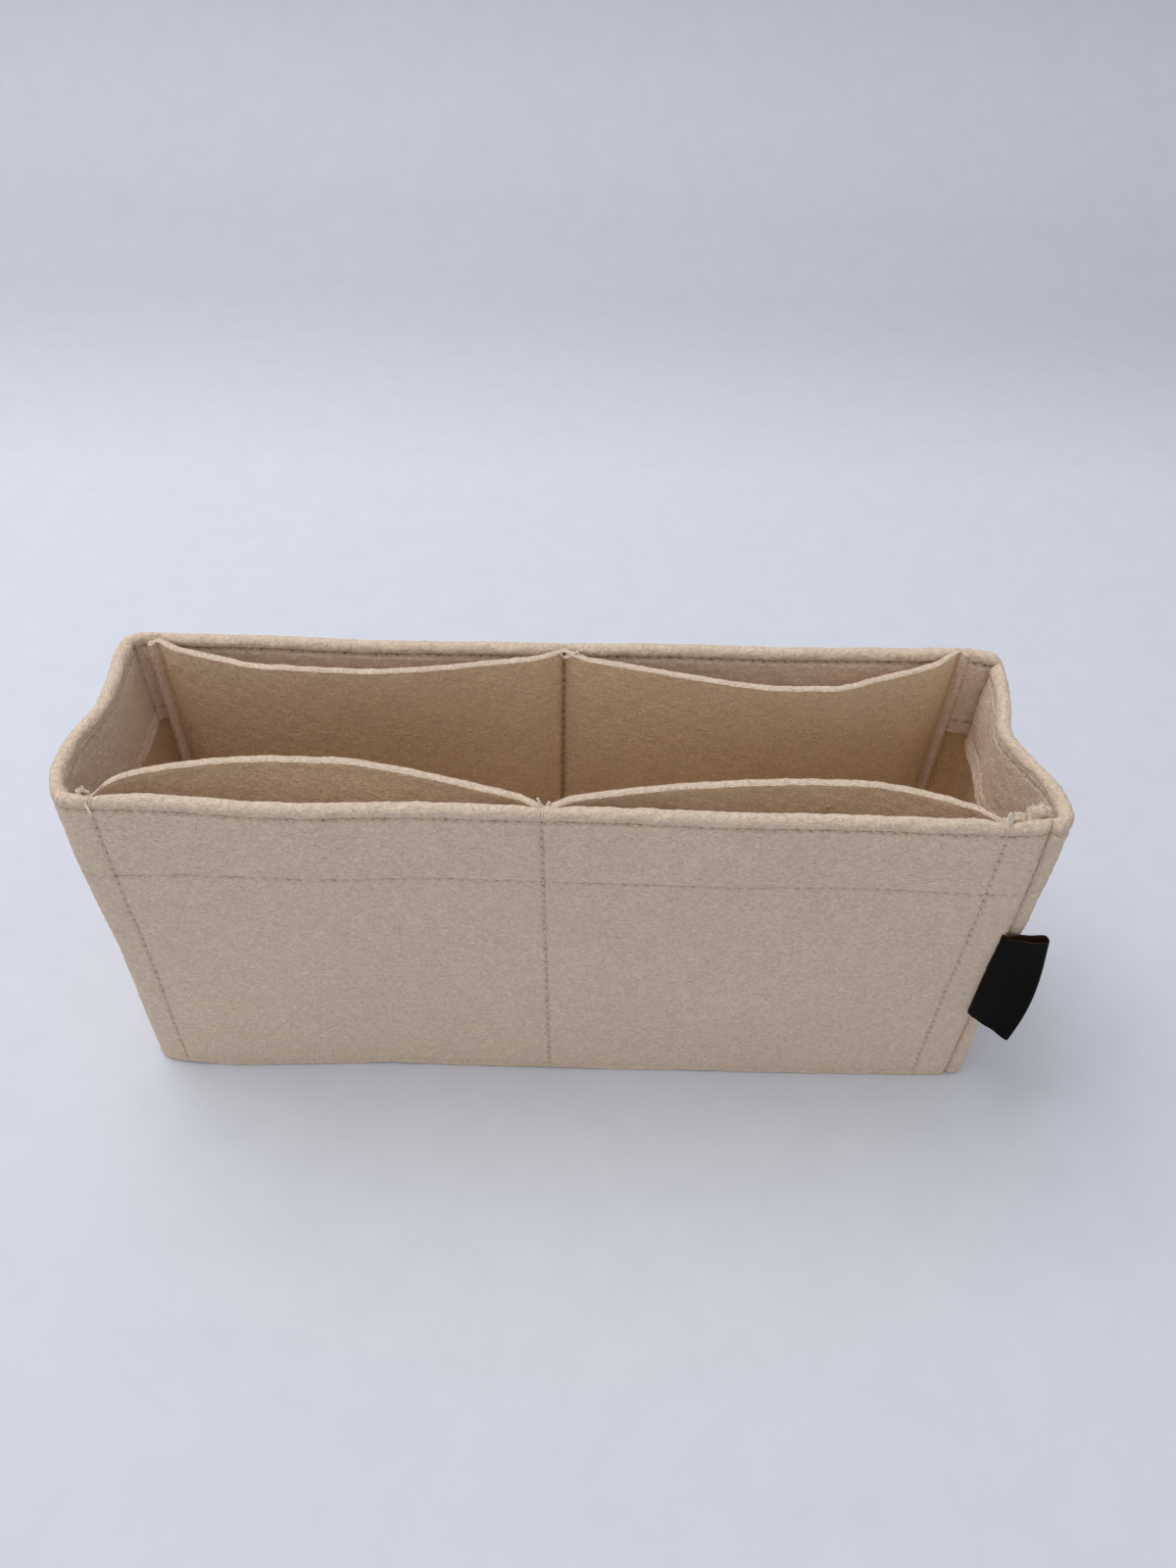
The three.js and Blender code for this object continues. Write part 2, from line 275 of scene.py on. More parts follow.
# How far the hem's stitching wanders from its level, against u
HEM_STITCH_RISE = ((0, 0.8), (100, -0.2), (200, 0.2), (251, -1.6), (300, 0.0), (662, 0.8))

# How far the front's middle seam leans from foot to rim
MIDDLE_SEAM_LEAN = 2.0

# How far the right front corner is pressed in halfway up
CORNER_PRESS = 1.5
CORNER_PRESS_WIDTH = 8.0

# Share of the layers' thickness that an upright seam takes up, and its reach
PINCH = 0.35
PINCH_REACH = 7.0

# Label
LABEL_WIDTH = 12.7
LABEL_ROOT_X = -2.0
LABEL_SINK = 0.4
LABEL_RISE = 1.1
LABEL_RISE_REACH = 1.2
LABEL_FOOT = 37.0
LABEL_TOP = 75.0
LABEL_FOOT_TURN_DEG = -40
LABEL_TOP_TURN_DEG = -2
LABEL_HALF_GAP = 0.8
LABEL_THICKNESS = 0.3
LABEL_BELLY = 0.11
LABEL_ROWS = 34
LABEL_TURN_POWER = 1.3
LABEL_ROOT_POWER = 0.2
LABEL_FOOT_OPEN = 0.55
LABEL_TOP_OPEN = 0.75
LABEL_RIPPLE = 0.2
LABEL_RIPPLES = 3
RIBBON_STEPS = 22
RIBBON_FOLD_STEPS = 12
RIBBON_ROOT_GAP = 0.2
RIBBON_OPENING = 1.25

# Felt strip behind the closing seam
STRIP_WIDTH = 10.0
STRIP_THICKNESS = 2.0
STRIP_END_GAP = 4
STRIP_ROWS = 90
STRIP_SWAY = 0.25
STRIP_INSET = 1.0
STRIP_OFF_HEM = 0.5

# Thread tails by wall: the seam each stands at, and its points as x from that seam, y and z
TAILS = {
    "front": (
        (0, ((-1.6, -33.6, 117.6), (-0.6, -35.2, 117.3), (0.4, -36.3, 115.4))),
        (1, ((-0.6, -32.4, 116.4), (-1.2, -31.8, 117.9), (-2.0, -31.4, 119.6))),
        (1, ((0.3, -32.2, 116.8), (0.5, -31.8, 117.8), (1.0, -31.5, 118.6))),
        (2, ((-0.2, -34.4, 114.8), (-0.9, -33.6, 117.8), (-0.5, -33.0, 120.0))),
        (2, ((0.4, -34.0, 114.8), (0.7, -33.2, 117.2), (0.1, -32.6, 118.9))),
    ),
    "back": (
        (1, ((-0.2, 31.2, 115.4), (1.8, 30.5, 116.8), (4.2, 30.2, 118.6))),
        (1, ((0.0, 31.0, 115.4), (-0.6, 30.6, 116.6), (-1.9, 30.3, 118.0))),
        (1, ((0.2, 31.0, 115.6), (1.6, 30.4, 116.2), (3.4, 30.0, 117.4))),
    ),
}
TAIL_POINTS = 9
TAIL_RADIUS = THREAD_RADIUS * 1.6
TAIL_UP = (0.3, 0.5, 0.2)

# Rolls of felt at the rim: the front seam each stands at, its points as above, and its radii
NUBS = {
    "front_left_frayed_corner": (
        0, ((-4.2, -31.6, 117.4), (-2.6, -31.0, 118.4), (-0.6, -31.6, 117.2)), (0.5, 1.0, 0.8, 0.4)),
    "front_right_frayed_corner": (
        2, ((1.4, -32.2, 116.2), (2.8, -31.8, 117.6), (4.4, -32.4, 116.2)), (0.5, 1.1, 1.0, 0.4)),
    "closing_seam_allowance_curl": (
        2, ((4.6, -32.6, 115.4), (6.4, -30.6, 117.0), (9.4, -29.6, 117.4), (11.6, -31.0, 116.2)),
        (0.9, 2.0, 2.2, 1.0)),
}
NUB_POINTS = 17
NUB_SIDES = 14
NUB_LUMP = 0.22
NUB_UP = (0.2, 0.3, 1.0)
CURVE_PASSES = 3

# Height of the rim above its nominal level, against u
RIM_WAVE = ((0, -0.4), (11, -1.2), (66, 0.1), (129.7, 0.7), (190, 0.2), (246, 0.9), (290, 0.3), (335, 0.6),
            (395, 0.2), (456, 0.4), (495, 0.9), (540, 1.1), (560, 1.4), (573, 2.9), (580, 2.7), (590, 0.5),
            (620, -0.3), (662, -0.4))

# Camera, fitted to the photograph's 1200 by 1600 frame. Its turns are yaw, tilt from straight down and roll.
IMAGE_WIDTH_PX = 1200
FOCAL_PX = 1175.7
SENSOR_MM = 36.0
CAMERA_MM = (4.1, -236.9, 328.3)
CAMERA_TURNS_DEG = ((-0.67, "Z"), (45.33, "X"), (1.77, "Z"))
CLIP_START = 0.01

# Floor, in metres, and the painted shade that darkens it towards the back, where it curves up
FLOOR_REACH = 8.0
FLOOR_BACK = 0.52
FLOOR_RADIUS = 0.18
FLOOR_RISE = 2.5
FLOOR_BEND_STEPS = 16
FLOOR_LOOK = {"Roughness": 0.8, "Specular IOR Level": 0.1}
FLOOR_NOISE = (60, 3)
FLOOR_GRAIN = ((0.3, (0.702, 0.721, 0.790)), (0.7, (0.728, 0.747, 0.816)))
FLOOR_PAINTED_SHADE = ((0.34, (1.0, 1.0, 1.0)), (0.57, (0.803, 0.803, 0.806)), (0.63, (0.812, 0.812, 0.815)),
              (0.70, (0.930, 0.930, 0.933)))

# Light, in metres and watts
LAMP_AT = (-0.45, 0.25, 1.25)
LAMP_TARGET = (0, 0, 0.06)
LAMP_SIZE = 1.0
LAMP_POWER = 8.5
SKY_COLOUR = (0.96, 0.98, 1.0, 1)
SKY_STRENGTH = 0.60

# Felt: scale, detail, stretch and distortion of its grains, their shades, the painted shade at needle holes,
# and bumps in metres
WHITE = (1.0, 1.0, 1.0)
FIBRES = (1250, 4, (0.75, 0.75, 1.3), 1.6)
FUZZ = (2600, 3, (1, 1, 1), 0.8)
LUMPS = (820, 2, (0.85, 0.85, 1.15), 1.0)
MOTTLE = (70, 3)
GRAIN_ROUGHNESS = 0.62
FIBRE_STOPS = (0.32, 0.5, 0.68)
FIBRE_LIGHT = 1.10
FIBRE_CONTRAST = 0.13
CUT_CONTRAST = 0.16
MOTTLE_SHADES = ((0.3, (0.972, 0.968, 0.962)), (0.7, WHITE))
LUMP_SHADES = ((0.36, (0.88, 0.865, 0.85)), (0.64, WHITE))
# Painted shade in needle holes and along stitch creases and seams
HOLE_PAINTED_SHADE_STOPS = ((0.0, WHITE), (1.0, (0.30, 0.23, 0.17)))
FELT_BUMPS = (0.00075, 0.00032, 0.00012)
FELT_LOOK = {"Roughness": 0.92, "Specular IOR Level": 0.1, "Sheen Weight": 0.05, "Sheen Roughness": 0.6,
             "Sheen Tint": (1.0, 0.95, 0.88, 1)}
FELT_COLOUR = (0.875, 0.705, 0.545)
# The box's inside is the same felt, painted lighter and warmer: painted light for the light that bounces
# round inside the box
INNER_PAINTED_LIGHT_COLOUR = (0.94, 0.755, 0.61)
POCKET_PAINTED_LIGHT_COLOUR = (0.96, 0.72, 0.495)
LINING_PAINTED_LIGHT_COLOUR = (0.97, 0.72, 0.475)
CUT_SHARE = 0.95
# The rolled rim's felt is darker by this share: painted shade of its open fibres; the base uses the same
# share
RIM_SHARE = 0.97

# Thread and ribbon
TWIST = {"Scale": 900, "Distortion": 2.0}
TWIST_SHADE = 0.78
TWIST_BUMP = 0.0001
THREAD_LOOK = {"Roughness": 0.8, "Specular IOR Level": 0.15}
THREAD_COLOUR = (0.86, 0.70, 0.545)
# The cut thread ends are the same thread, painted lighter: painted light
TAIL_PAINTED_LIGHT_COLOUR = (0.97, 0.85, 0.72)
WEAVE = {"Scale": 700, "Distortion": 0.6}
RIBBON_GRAIN = (1500, 3, (0.4, 0.4, 2.0))
RIBBON_SHADES = ((0.3, 0.7), (0.75, 1.5))
RIBBON_BUMPS = (0.00006, 0.00005)
RIBBON_LOOK = {"Roughness": 0.45, "Specular IOR Level": 0.06}
RIBBON_COLOUR = (0.0032, 0.0028, 0.0026)
RIBBON_INSIDE_COLOUR = (0.050, 0.022, 0.010)

# Lengths of the wrap's stretches along u
FRONT_END = 2 * FLAT_HALF
QUARTER = math.pi / 2 * BEND
LEFT_START = FRONT_END + QUARTER
LEFT_END = LEFT_START + 2 * END_FLAT_HALF
BACK_START = LEFT_END + QUARTER
BACK_END = BACK_START + 2 * FLAT_HALF
RIGHT_START = BACK_END + QUARTER
RIGHT_END = RIGHT_START + 2 * END_FLAT_HALF
WRAP_LENGTH = RIGHT_END + QUARTER
LEFT_CREASE = LEFT_START + END_FLAT_HALF
RIGHT_CREASE = RIGHT_START + END_FLAT_HALF

# Sides of the wrap: where each starts and bends along u, and the corner it bends round
WRAP_SIDES = ((0, FRONT_END, -1, -1), (LEFT_START, LEFT_END, -1, 1), (BACK_START, BACK_END, 1, 1),
              (RIGHT_START, RIGHT_END, 1, -1))

# Where along u the hem's lip stands off more: the middle, the reach and how far
LIP_FLARES = ((RIGHT_START + 14, 14, 0.9), (LEFT_END - 6, 10, 0.5))


def smooth_step(share):
    s = np.clip(share, 0, 1)
    return s * s * (3 - 2 * s)


def bell(distance, width):
    """A smooth hump of height 1 at no distance."""
    return np.exp(-((distance / width) ** 2))


def soft_noise(seed, scale, *coords):
    """A smooth random field of about unit height, with lumps about scale across."""
    rng = np.random.default_rng(seed)
    total = 0.0
    for _ in range(WAVE_COUNT):
        direction = rng.normal(size=len(coords))
        direction /= np.linalg.norm(direction)
        frequency = (SLOWEST_WAVE + WAVE_SPREAD * rng.random()) / scale
        phase = rng.random() * 2 * math.pi
        along = sum(part * coord for part, coord in zip(direction, coords))
        total = total + np.cos(2 * math.pi * frequency * along + phase)
    return total / math.sqrt(WAVE_COUNT / 2)


def wall_u(side, x):
    """u of a place along the front, side -1, or along the back, side 1."""
    return FLAT_HALF - x if side < 0 else BACK_START + x + FLAT_HALF


def wrap_path(u):
    """Places u on the wrap's outer face: x, y and the inward direction."""
    u = np.asarray(u, float)
    x, y, nx, ny = (np.zeros_like(u) for _ in range(4))
    facing = 0.0
    for start, bend, x_side, y_side in WRAP_SIDES:
        facing -= math.pi / 2
        on = u >= start
        angle = facing - np.clip(u[on] - bend, 0, None) / BEND
        to_bend = np.clip(u[on] - bend, None, 0)
        x[on] = x_side * FLAT_HALF + BEND * np.cos(angle) + to_bend * math.sin(facing)
        y[on] = y_side * END_FLAT_HALF + BEND * np.sin(angle) - to_bend * math.cos(facing)
        nx[on] = -np.cos(angle)
        ny[on] = -np.sin(angle)
    return x, y, nx, ny


def soft_curve(points, at):
    """A line through the points with rounded corners."""
    shifts = np.linspace(-1, 1, SOFT_SAMPLES)
    weights = np.cos(shifts * math.pi / SOFT_TAPER) ** 2
    lines = [np.interp(at + shift * SHAPE_SOFTNESS, *zip(*points)) for shift in shifts]
    return sum(weight * line for weight, line in zip(weights, lines)) / weights.sum()


def end_dent(u, z):
    """How far the ends are pressed in: most at the rim."""
    left = soft_curve(LEFT_END_SHAPE, u - LEFT_CREASE)
    right = soft_curve(RIGHT_END_SHAPE, u - RIGHT_CREASE)
    corner = CORNER_INSET * bell(u - (FRONT_END + LEFT_START) / 2, CORNER_INSET_WIDTH)
    off_crease = np.abs(u - LEFT_CREASE) - END_FLAT_HALF
    inset = LEFT_END_INSET * smooth_step(1 - off_crease / QUARTER)
    foot = soft_curve(FRONT_FOOT_SHAPE, u) * smooth_step(1 - z / FRONT_FOOT_HEIGHT)
    halfway = np.sin(math.pi * np.clip(z / HEIGHT, 0, 1))
    press = CORNER_PRESS * bell(u - RIGHT_END, CORNER_PRESS_WIDTH) * halfway
    share = np.clip(z, 0, None) / HEIGHT
    bent = left * share**LEFT_DENT_POWER + right * share**RIGHT_DENT_POWER
    return bent + inset + press - foot + corner


def seam_pinch(u):
    """What is left of the layers' thickness near an upright seam."""
    share = 1.0
    for seam in UPRIGHT_SEAMS:
        share = share - PINCH * np.clip(1 - np.abs(u - seam) / PINCH_REACH, 0, 1)
    return share


def wall_wave(u, z):
    """Gentle unevenness of a soft felt wall, none at its foot."""
    free = np.clip(z / STILL_HEIGHT, 0, 1)
    return free * sum(height * soft_noise(seed, width, u, z) for seed, width, height in WALL_WAVES)


def seam_turn(u):
    """The wrap's two edges turn in at the closing seam."""
    near = np.minimum(u, WRAP_LENGTH - u)
    return SEAM_TURN_DEPTH * np.clip(1 - near / SEAM_TURN, 0, 1) ** 2


def rim_lift(u, z):
    wave = np.interp(u, *zip(*RIM_WAVE))
    pinch = 0
    for seam in UPRIGHT_SEAMS:
        dip = FRONT_RIM_DIP if seam < FRONT_END else BACK_RIM_DIP
        pinch = pinch + dip * bell(u - seam_line(seam, z), RIM_DIP_WIDTH)
    share = np.clip(z / HEIGHT, 0, 1)
    return wave * share - pinch * share**RIM_DIP_POWER


def place(u, depth, z):
    """A point of the wrap from its u, depth and height."""
    u, depth, z = np.broadcast_arrays(*(np.asarray(value, float) for value in (u, depth, z)))
    x, y, nx, ny = wrap_path(u)
    inward = depth * seam_pinch(u) + end_dent(u, z) + wall_wave(u, z) + seam_turn(u)
    return np.stack([x + nx * inward, y + ny * inward, z + rim_lift(u, z)], -1)


WALLS = (("front", -1, FRONT_SEAMS), ("back", 1, BACK_SEAMS))
UPRIGHT_SEAMS = [wall_u(side, x) for _, side, seams in WALLS for x in seams]
CORNER_VALLEYS = (FRONT_END + QUARTER / 2, LEFT_END + QUARTER / 2, BACK_END + QUARTER / 4)


def seam_line(seam, z):
    """Where along u an upright seam runs at a height."""
    lean = MIDDLE_SEAM_LEAN if seam == UPRIGHT_SEAMS[1] else 0.0
    return seam + lean * (z / HEIGHT - 0.5)


def hem_stitch_height(u):
    return HEM_STITCH_HEIGHT + np.interp(u, *zip(*HEM_STITCH_RISE))


def rim_stitch_height(u):
    """The rim's stitching runs a little lower round the ends."""
    return RIM_STITCH_HEIGHT - END_RIM_DROP * on_end(u) * smooth_step((WRAP_LENGTH - u) / QUARTER)


def on_end(u):
    """1 on the ends, 0 on the long walls."""
    left = smooth_step((u - FRONT_END) / QUARTER) * smooth_step((BACK_START - u) / QUARTER)
    return left + smooth_step((u - BACK_END) / QUARTER)


def stitch_marks(along, across, depth, width, hole):
    """Groove of this depth and width along a row of stitches, and its needle holes: dents with painted
    shade, this strong.
    """
    groove = depth * bell(across, width)
    to_hole = ((along / STITCH_PITCH + 0.5) % 1 - 0.5) * STITCH_PITCH
    strength = hole * (1 - HOLE_VARIATION + HOLE_VARIATION * soft_noise(*HOLE_WAVE, along))
    holes = strength * np.maximum(bell(to_hole, HOLE_LENGTH), CREASE_SHADE) * bell(across, HOLE_WIDTH)
    return np.stack(np.broadcast_arrays(groove, holes))


def wall_marks(u, z):
    """Stitch grooves in a wall's face, and strength of the needle holes' dents and painted shade."""
    marks = stitch_marks(u, z - rim_stitch_height(u), *RIM_GROOVE)
    marks = marks + stitch_marks(u, z - hem_stitch_height(u), *HEM_GROOVE)
    for seam in UPRIGHT_SEAMS:
        marks = marks + stitch_marks(z, u - seam_line(seam, z), *UPRIGHT_GROOVE)
    for _, side, seams in WALLS:
        low, high = sorted(wall_u(side, x) for x in seams[::2])
        between = (u > low) & (u < high)
        marks = marks + between * stitch_marks(u, z - FOOT_STITCH_HEIGHT, *FOOT_GROOVE)
    return marks


def felt_lumps(seed, *coords):
    return sum(height * soft_noise(seed + more, width, *coords) for more, width, height in FELT_LUMPS)


# Meshes
def mesh_object(name, points, faces, materials, face_slots=None, sharp_deg=SHARP_DEG, holes=None):
    mesh = bpy.data.meshes.new(name)
    mesh.from_pydata((np.asarray(points).reshape(-1, 3) * MM).tolist(), [], faces)
    for material in materials:
        mesh.materials.append(material)
    mesh.polygons.foreach_set("use_smooth", np.ones(len(mesh.polygons), bool))
    if face_slots is not None:
        mesh.polygons.foreach_set("material_index", np.asarray(face_slots, np.int32))
    # Strength of the painted shade at needle holes and seams, for each point
    if holes is not None:
        values = np.broadcast_to(holes, np.asarray(points).shape[:2]).astype(np.float32).ravel()
        mesh.attributes.new("needle_hole_painted_shade", "FLOAT", "POINT").data.foreach_set("value", values)
    mesh.set_sharp_from_angle(angle=math.radians(sharp_deg))
    mesh.update()
    piece = bpy.data.objects.new(name, mesh)
    bpy.context.scene.collection.objects.link(piece)
    return piece


def ring_faces(ring_count, ring_size):
    """Quads between neighbouring closed rings, and the two end rings as caps."""
    i, j = np.meshgrid(np.arange(ring_count - 1), np.arange(ring_size), indexing="ij")
    here = i * ring_size + j
    after = i * ring_size + (j + 1) % ring_size
    quads = np.stack([here, after, after + ring_size, here + ring_size], -1).reshape(-1, 4)
    last = (ring_count - 1) * ring_size
    caps = [list(range(ring_size))[::-1], list(range(last, last + ring_size))]
    return quads.tolist(), caps


def tubes(name, paths, normals, radii, material, sides=THREAD_SIDES, lumps=0.0):
    """Many short threads in one mesh: paths by strand, point and axis, and normals off the felt."""
    paths = np.asarray(paths, float)
    strands, count, _ = paths.shape
    radii = np.broadcast_to(np.asarray(radii, float), (strands, count))
    along = np.gradient(paths, axis=1)
    along /= np.linalg.norm(along, axis=-1, keepdims=True)
    side = np.cross(along, normals)
    side /= np.linalg.norm(side, axis=-1, keepdims=True)
    up = np.cross(side, along)
    angles = np.arange(sides) * 2 * math.pi / sides
    ring = np.cos(angles)[:, None] * up[:, :, None, :] + np.sin(angles)[:, None] * side[:, :, None, :]
    points = paths[:, :, None, :] + radii[:, :, None, None] * ring
    if lumps:
        bump = sum(soft_noise(*wave, *np.moveaxis(points, -1, 0)) for wave in NUB_WAVES)
        points = points + lumps * bump[..., None] * ring
    quads, caps = ring_faces(count, sides)
    faces = []
    for strand in range(strands):
        start = strand * count * sides
        faces += [[start + corner for corner in face] for face in quads + caps]
    return mesh_object(name, points, faces, [material], sharp_deg=THREAD_SHARP_DEG)


# Materials
def new_material(name):
    material = bpy.data.materials.new(name)
    material.use_nodes = True
    tree = material.node_tree
    return material, tree, tree.nodes.new("ShaderNodeTexCoord").outputs["Object"]


def set_inputs(node, values):
    for socket, value in values.items():
        node.inputs[socket].default_value = value


def add_node(tree, kind, values, socket, source):
    """A new node with these settings, linked from a source to one socket."""
    node = tree.nodes.new(f"ShaderNode{kind}")
    set_inputs(node, values)
    tree.links.new(source, node.inputs[socket])
    return node


def noise_node(tree, coords, scale, detail, stretch=(1, 1, 1), distortion=0.0):
    mapping = add_node(tree, "Mapping", {"Scale": stretch}, "Vector", coords)
    look = {"Scale": scale, "Detail": detail, "Roughness": GRAIN_ROUGHNESS, "Distortion": distortion}
    return add_node(tree, "TexNoise", look, "Vector", mapping.outputs["Vector"]).outputs["Fac"]


def wave_node(tree, coords, direction, look):
    wave = add_node(tree, "TexWave", look, "Vector", coords)
    wave.bands_direction = direction
    return wave.outputs["Fac"]


def ramp_node(tree, factor, stops):
    ramp = add_node(tree, "ValToRGB", {}, "Fac", factor)
    elements = ramp.color_ramp.elements
    for element, (position, colour) in zip(elements, (stops[0], stops[-1])):
        element.position = position
        element.color = (*colour, 1)
    for position, colour in stops[1:-1]:
        elements.new(position).color = (*colour, 1)
    return ramp.outputs["Color"]


def multiply_node(tree, first, second):
    mix = tree.nodes.new("ShaderNodeMix")
    mix.data_type = "RGBA"
    mix.blend_type = "MULTIPLY"
    set_inputs(mix, {"Factor": 1.0})
    tree.links.new(first, mix.inputs["A"])
    tree.links.new(second, mix.inputs["B"])
    return mix.outputs["Result"]


def dress(material, shade, look, heights=()):
    """Gives a material its colour, settings and bumps: pairs of a height and its metres, coarse to fine."""
    tree = material.node_tree
    shader = tree.nodes["Principled BSDF"]
    set_inputs(shader, look)
    tree.links.new(shade, shader.inputs["Base Color"])
    normal = None
    for height, distance in heights:
        bump = add_node(tree, "Bump", {"Strength": 1.0, "Distance": distance}, "Height", height)
        if normal is not None:
            tree.links.new(normal, bump.inputs["Normal"])
        normal = bump.outputs["Normal"]
    if normal is not None:
        tree.links.new(normal, shader.inputs["Normal"])
    return material


def scaled(colour, share):
    return tuple(channel * share for channel in colour)


def felt_material(name, colour, fibre_contrast=FIBRE_CONTRAST):
    """Pressed felt: fine wavy fibres, small lumps, a soft mottling, and painted shade at needle holes and
    seams.
    """
    material, tree, coords = new_material(name)
    grains = (FIBRES, FUZZ, LUMPS, MOTTLE)
    fibres, fuzz, lumps, mottle = (noise_node(tree, coords, *grain) for grain in grains)
    fibre_shades = (scaled(colour, 1 - fibre_contrast), colour, scaled(colour, FIBRE_LIGHT))
    shade = ramp_node(tree, fibres, list(zip(FIBRE_STOPS, fibre_shades)))
    # Painted shade at needle holes, stitch creases and seams, read from each mesh point
    hole = tree.nodes.new("ShaderNodeAttribute")
    hole.attribute_name = "needle_hole_painted_shade"
    layers = ((mottle, MOTTLE_SHADES), (lumps, LUMP_SHADES), (hole.outputs["Fac"], HOLE_PAINTED_SHADE_STOPS))
    for factor, stops in layers:
        shade = multiply_node(tree, shade, ramp_node(tree, factor, stops))
    return dress(material, shade, FELT_LOOK, zip((lumps, fibres, fuzz), FELT_BUMPS))


def thread_material(name, colour):
    """Spun thread with a fine twist."""
    material, tree, coords = new_material(name)
    twist = wave_node(tree, coords, "DIAGONAL", TWIST)
    shade = ramp_node(tree, twist, [(0.0, scaled(colour, TWIST_SHADE)), (1.0, colour)])
    return dress(material, shade, THREAD_LOOK, [(twist, TWIST_BUMP)])


def ribbon_material(name, colour):
    """Black satin ribbon: fine crosswise weave with a soft sheen."""
    material, tree, coords = new_material(name)
    weave = wave_node(tree, coords, "Z", WEAVE)
    grain = noise_node(tree, coords, *RIBBON_GRAIN)
    shade = ramp_node(tree, grain, [(position, scaled(colour, share)) for position, share in RIBBON_SHADES])
    return dress(material, shade, RIBBON_LOOK, zip((weave, grain), RIBBON_BUMPS))


felt = felt_material("felt_wrap", FELT_COLOUR)
# Lit copies of the felt for the inside of the box: painted light
felt_inner_painted_light = felt_material("felt_inner_painted_light", INNER_PAINTED_LIGHT_COLOUR)
felt_pocket = felt_material("felt_pocket", POCKET_PAINTED_LIGHT_COLOUR)
felt_cut = felt_material("felt_cut_edge", scaled(FELT_COLOUR, CUT_SHARE), CUT_CONTRAST)
# A darker copy of the felt for the rolled rim: painted shade
felt_rim_painted_shade = felt_material("felt_rim_painted_shade", scaled(FELT_COLOUR, RIM_SHARE))
felt_lining_painted_light = felt_material("felt_lining_painted_light", LINING_PAINTED_LIGHT_COLOUR)
felt_base = felt_material("felt_base", scaled(FELT_COLOUR, RIM_SHARE))
thread = thread_material("thread", THREAD_COLOUR)
# A lighter copy of the thread for the cut ends: painted light
thread_tail_painted_light = thread_material("thread_tail_painted_light", TAIL_PAINTED_LIGHT_COLOUR)
ribbon = ribbon_material("ribbon", RIBBON_COLOUR)
ribbon_inside = ribbon_material("ribbon_inside", RIBBON_INSIDE_COLOUR)


# Wrap panels
def refined(low, high, step, fine_at):
    """Levels from low to high on an even lattice, closer together round the lines of fine_at."""
    levels = list(np.arange(math.ceil(low / step), math.floor(high / step) + 1) * step)
    fine = [line + shift for line in fine_at for shift in np.arange(-FINE_LINES, FINE_LINES + 1) * FINE_STEP]
    levels = sorted(level for level in levels + fine if low + FINE_CLEARANCE < level < high - FINE_CLEARANCE)
    kept = [low]
    for level in levels:
        if level - kept[-1] > FINE_STEP * FINE_SHARE:
            kept.append(level)
    return np.array(kept + [high])


def wrap_section():
    """Points from the outer foot over the rim to the inner foot: depth, height, outward direction in both,
    and shares of the outer and inner stitch marks."""
    rim_centre = HEIGHT - RIM_RADIUS
    overlap = math.radians(RIM_WRAP_DEG)
    inner_overlap = math.radians(INNER_RIM_WRAP_DEG)
    shoulder = rim_centre - RIM_RADIUS * math.sin(overlap)
    inner_shoulder = rim_centre - RIM_RADIUS * math.sin(inner_overlap)
    stitch_lines = (RIM_STITCH_HEIGHT, HEM_STITCH_HEIGHT, FOOT_STITCH_HEIGHT)
    hem_foot = HEIGHT - HEM_DEPTH
    ring = []
    for z in refined(WALL_FOOT, shoulder, ROW_STEP, stitch_lines):
        ring.append((0, z, -1, 0, 1, 0))
    for angle in np.linspace(math.pi + overlap, -inner_overlap, RIM_STEPS)[1:-1]:
        ring.append((FELT + RIM_RADIUS * math.cos(angle), rim_centre + RIM_RADIUS * math.sin(angle),
                     math.cos(angle), math.sin(angle), 0, 0))
    for z in refined(hem_foot + LIP_ROUND, inner_shoulder, ROW_STEP, stitch_lines[:2])[::-1]:
        ring.append((HEM_THICKNESS, z, 1, 0, 0, 1))
    ring.append((HEM_THICKNESS - LIP_ROUND, hem_foot, 0, -1, 0, 0))
    ring.append((FELT + LIP_BACK, hem_foot, 0, -1, 0, 0))
    for z in np.linspace(hem_foot - LIP_STEP, WALL_FOOT, LINING_ROWS):
        ring.append((FELT, z, 1, 0, 0, 0))
    ring.append((FELT - FOOT_ROUND, FOOT_UNDER, 0, -1, 0, 0))
    ring.append((FOOT_ROUND, FOOT_UNDER, 0, -1, 0, 0))
    return np.array(ring)


SECTION = wrap_section()
RIM_ROW = int(np.argmax(SECTION[:, 4] == 0))
FACING_ROW = int(np.argmax(SECTION[:, 5] > 0))
CUT_ROW = FACING_ROW + int(np.argmax(SECTION[FACING_ROW:, 3] < 0))
WRAP_FELTS = [felt, felt_rim_painted_shade, felt_inner_painted_light, felt_cut, felt_lining_painted_light]
FELT_CHANGES = (RIM_ROW - 1, FACING_ROW, CUT_ROW - 1, CUT_ROW + 2)
ROW_FELTS = np.searchsorted(FELT_CHANGES, np.arange(len(SECTION)), side="right")
ROW_FELTS[-2:] = 0


def lip_flare(u):
    """How far the hem's free lip stands off the wall."""
    return LIP_FLARE + sum(far * bell(u - middle, reach) for middle, reach, far in LIP_FLARES)


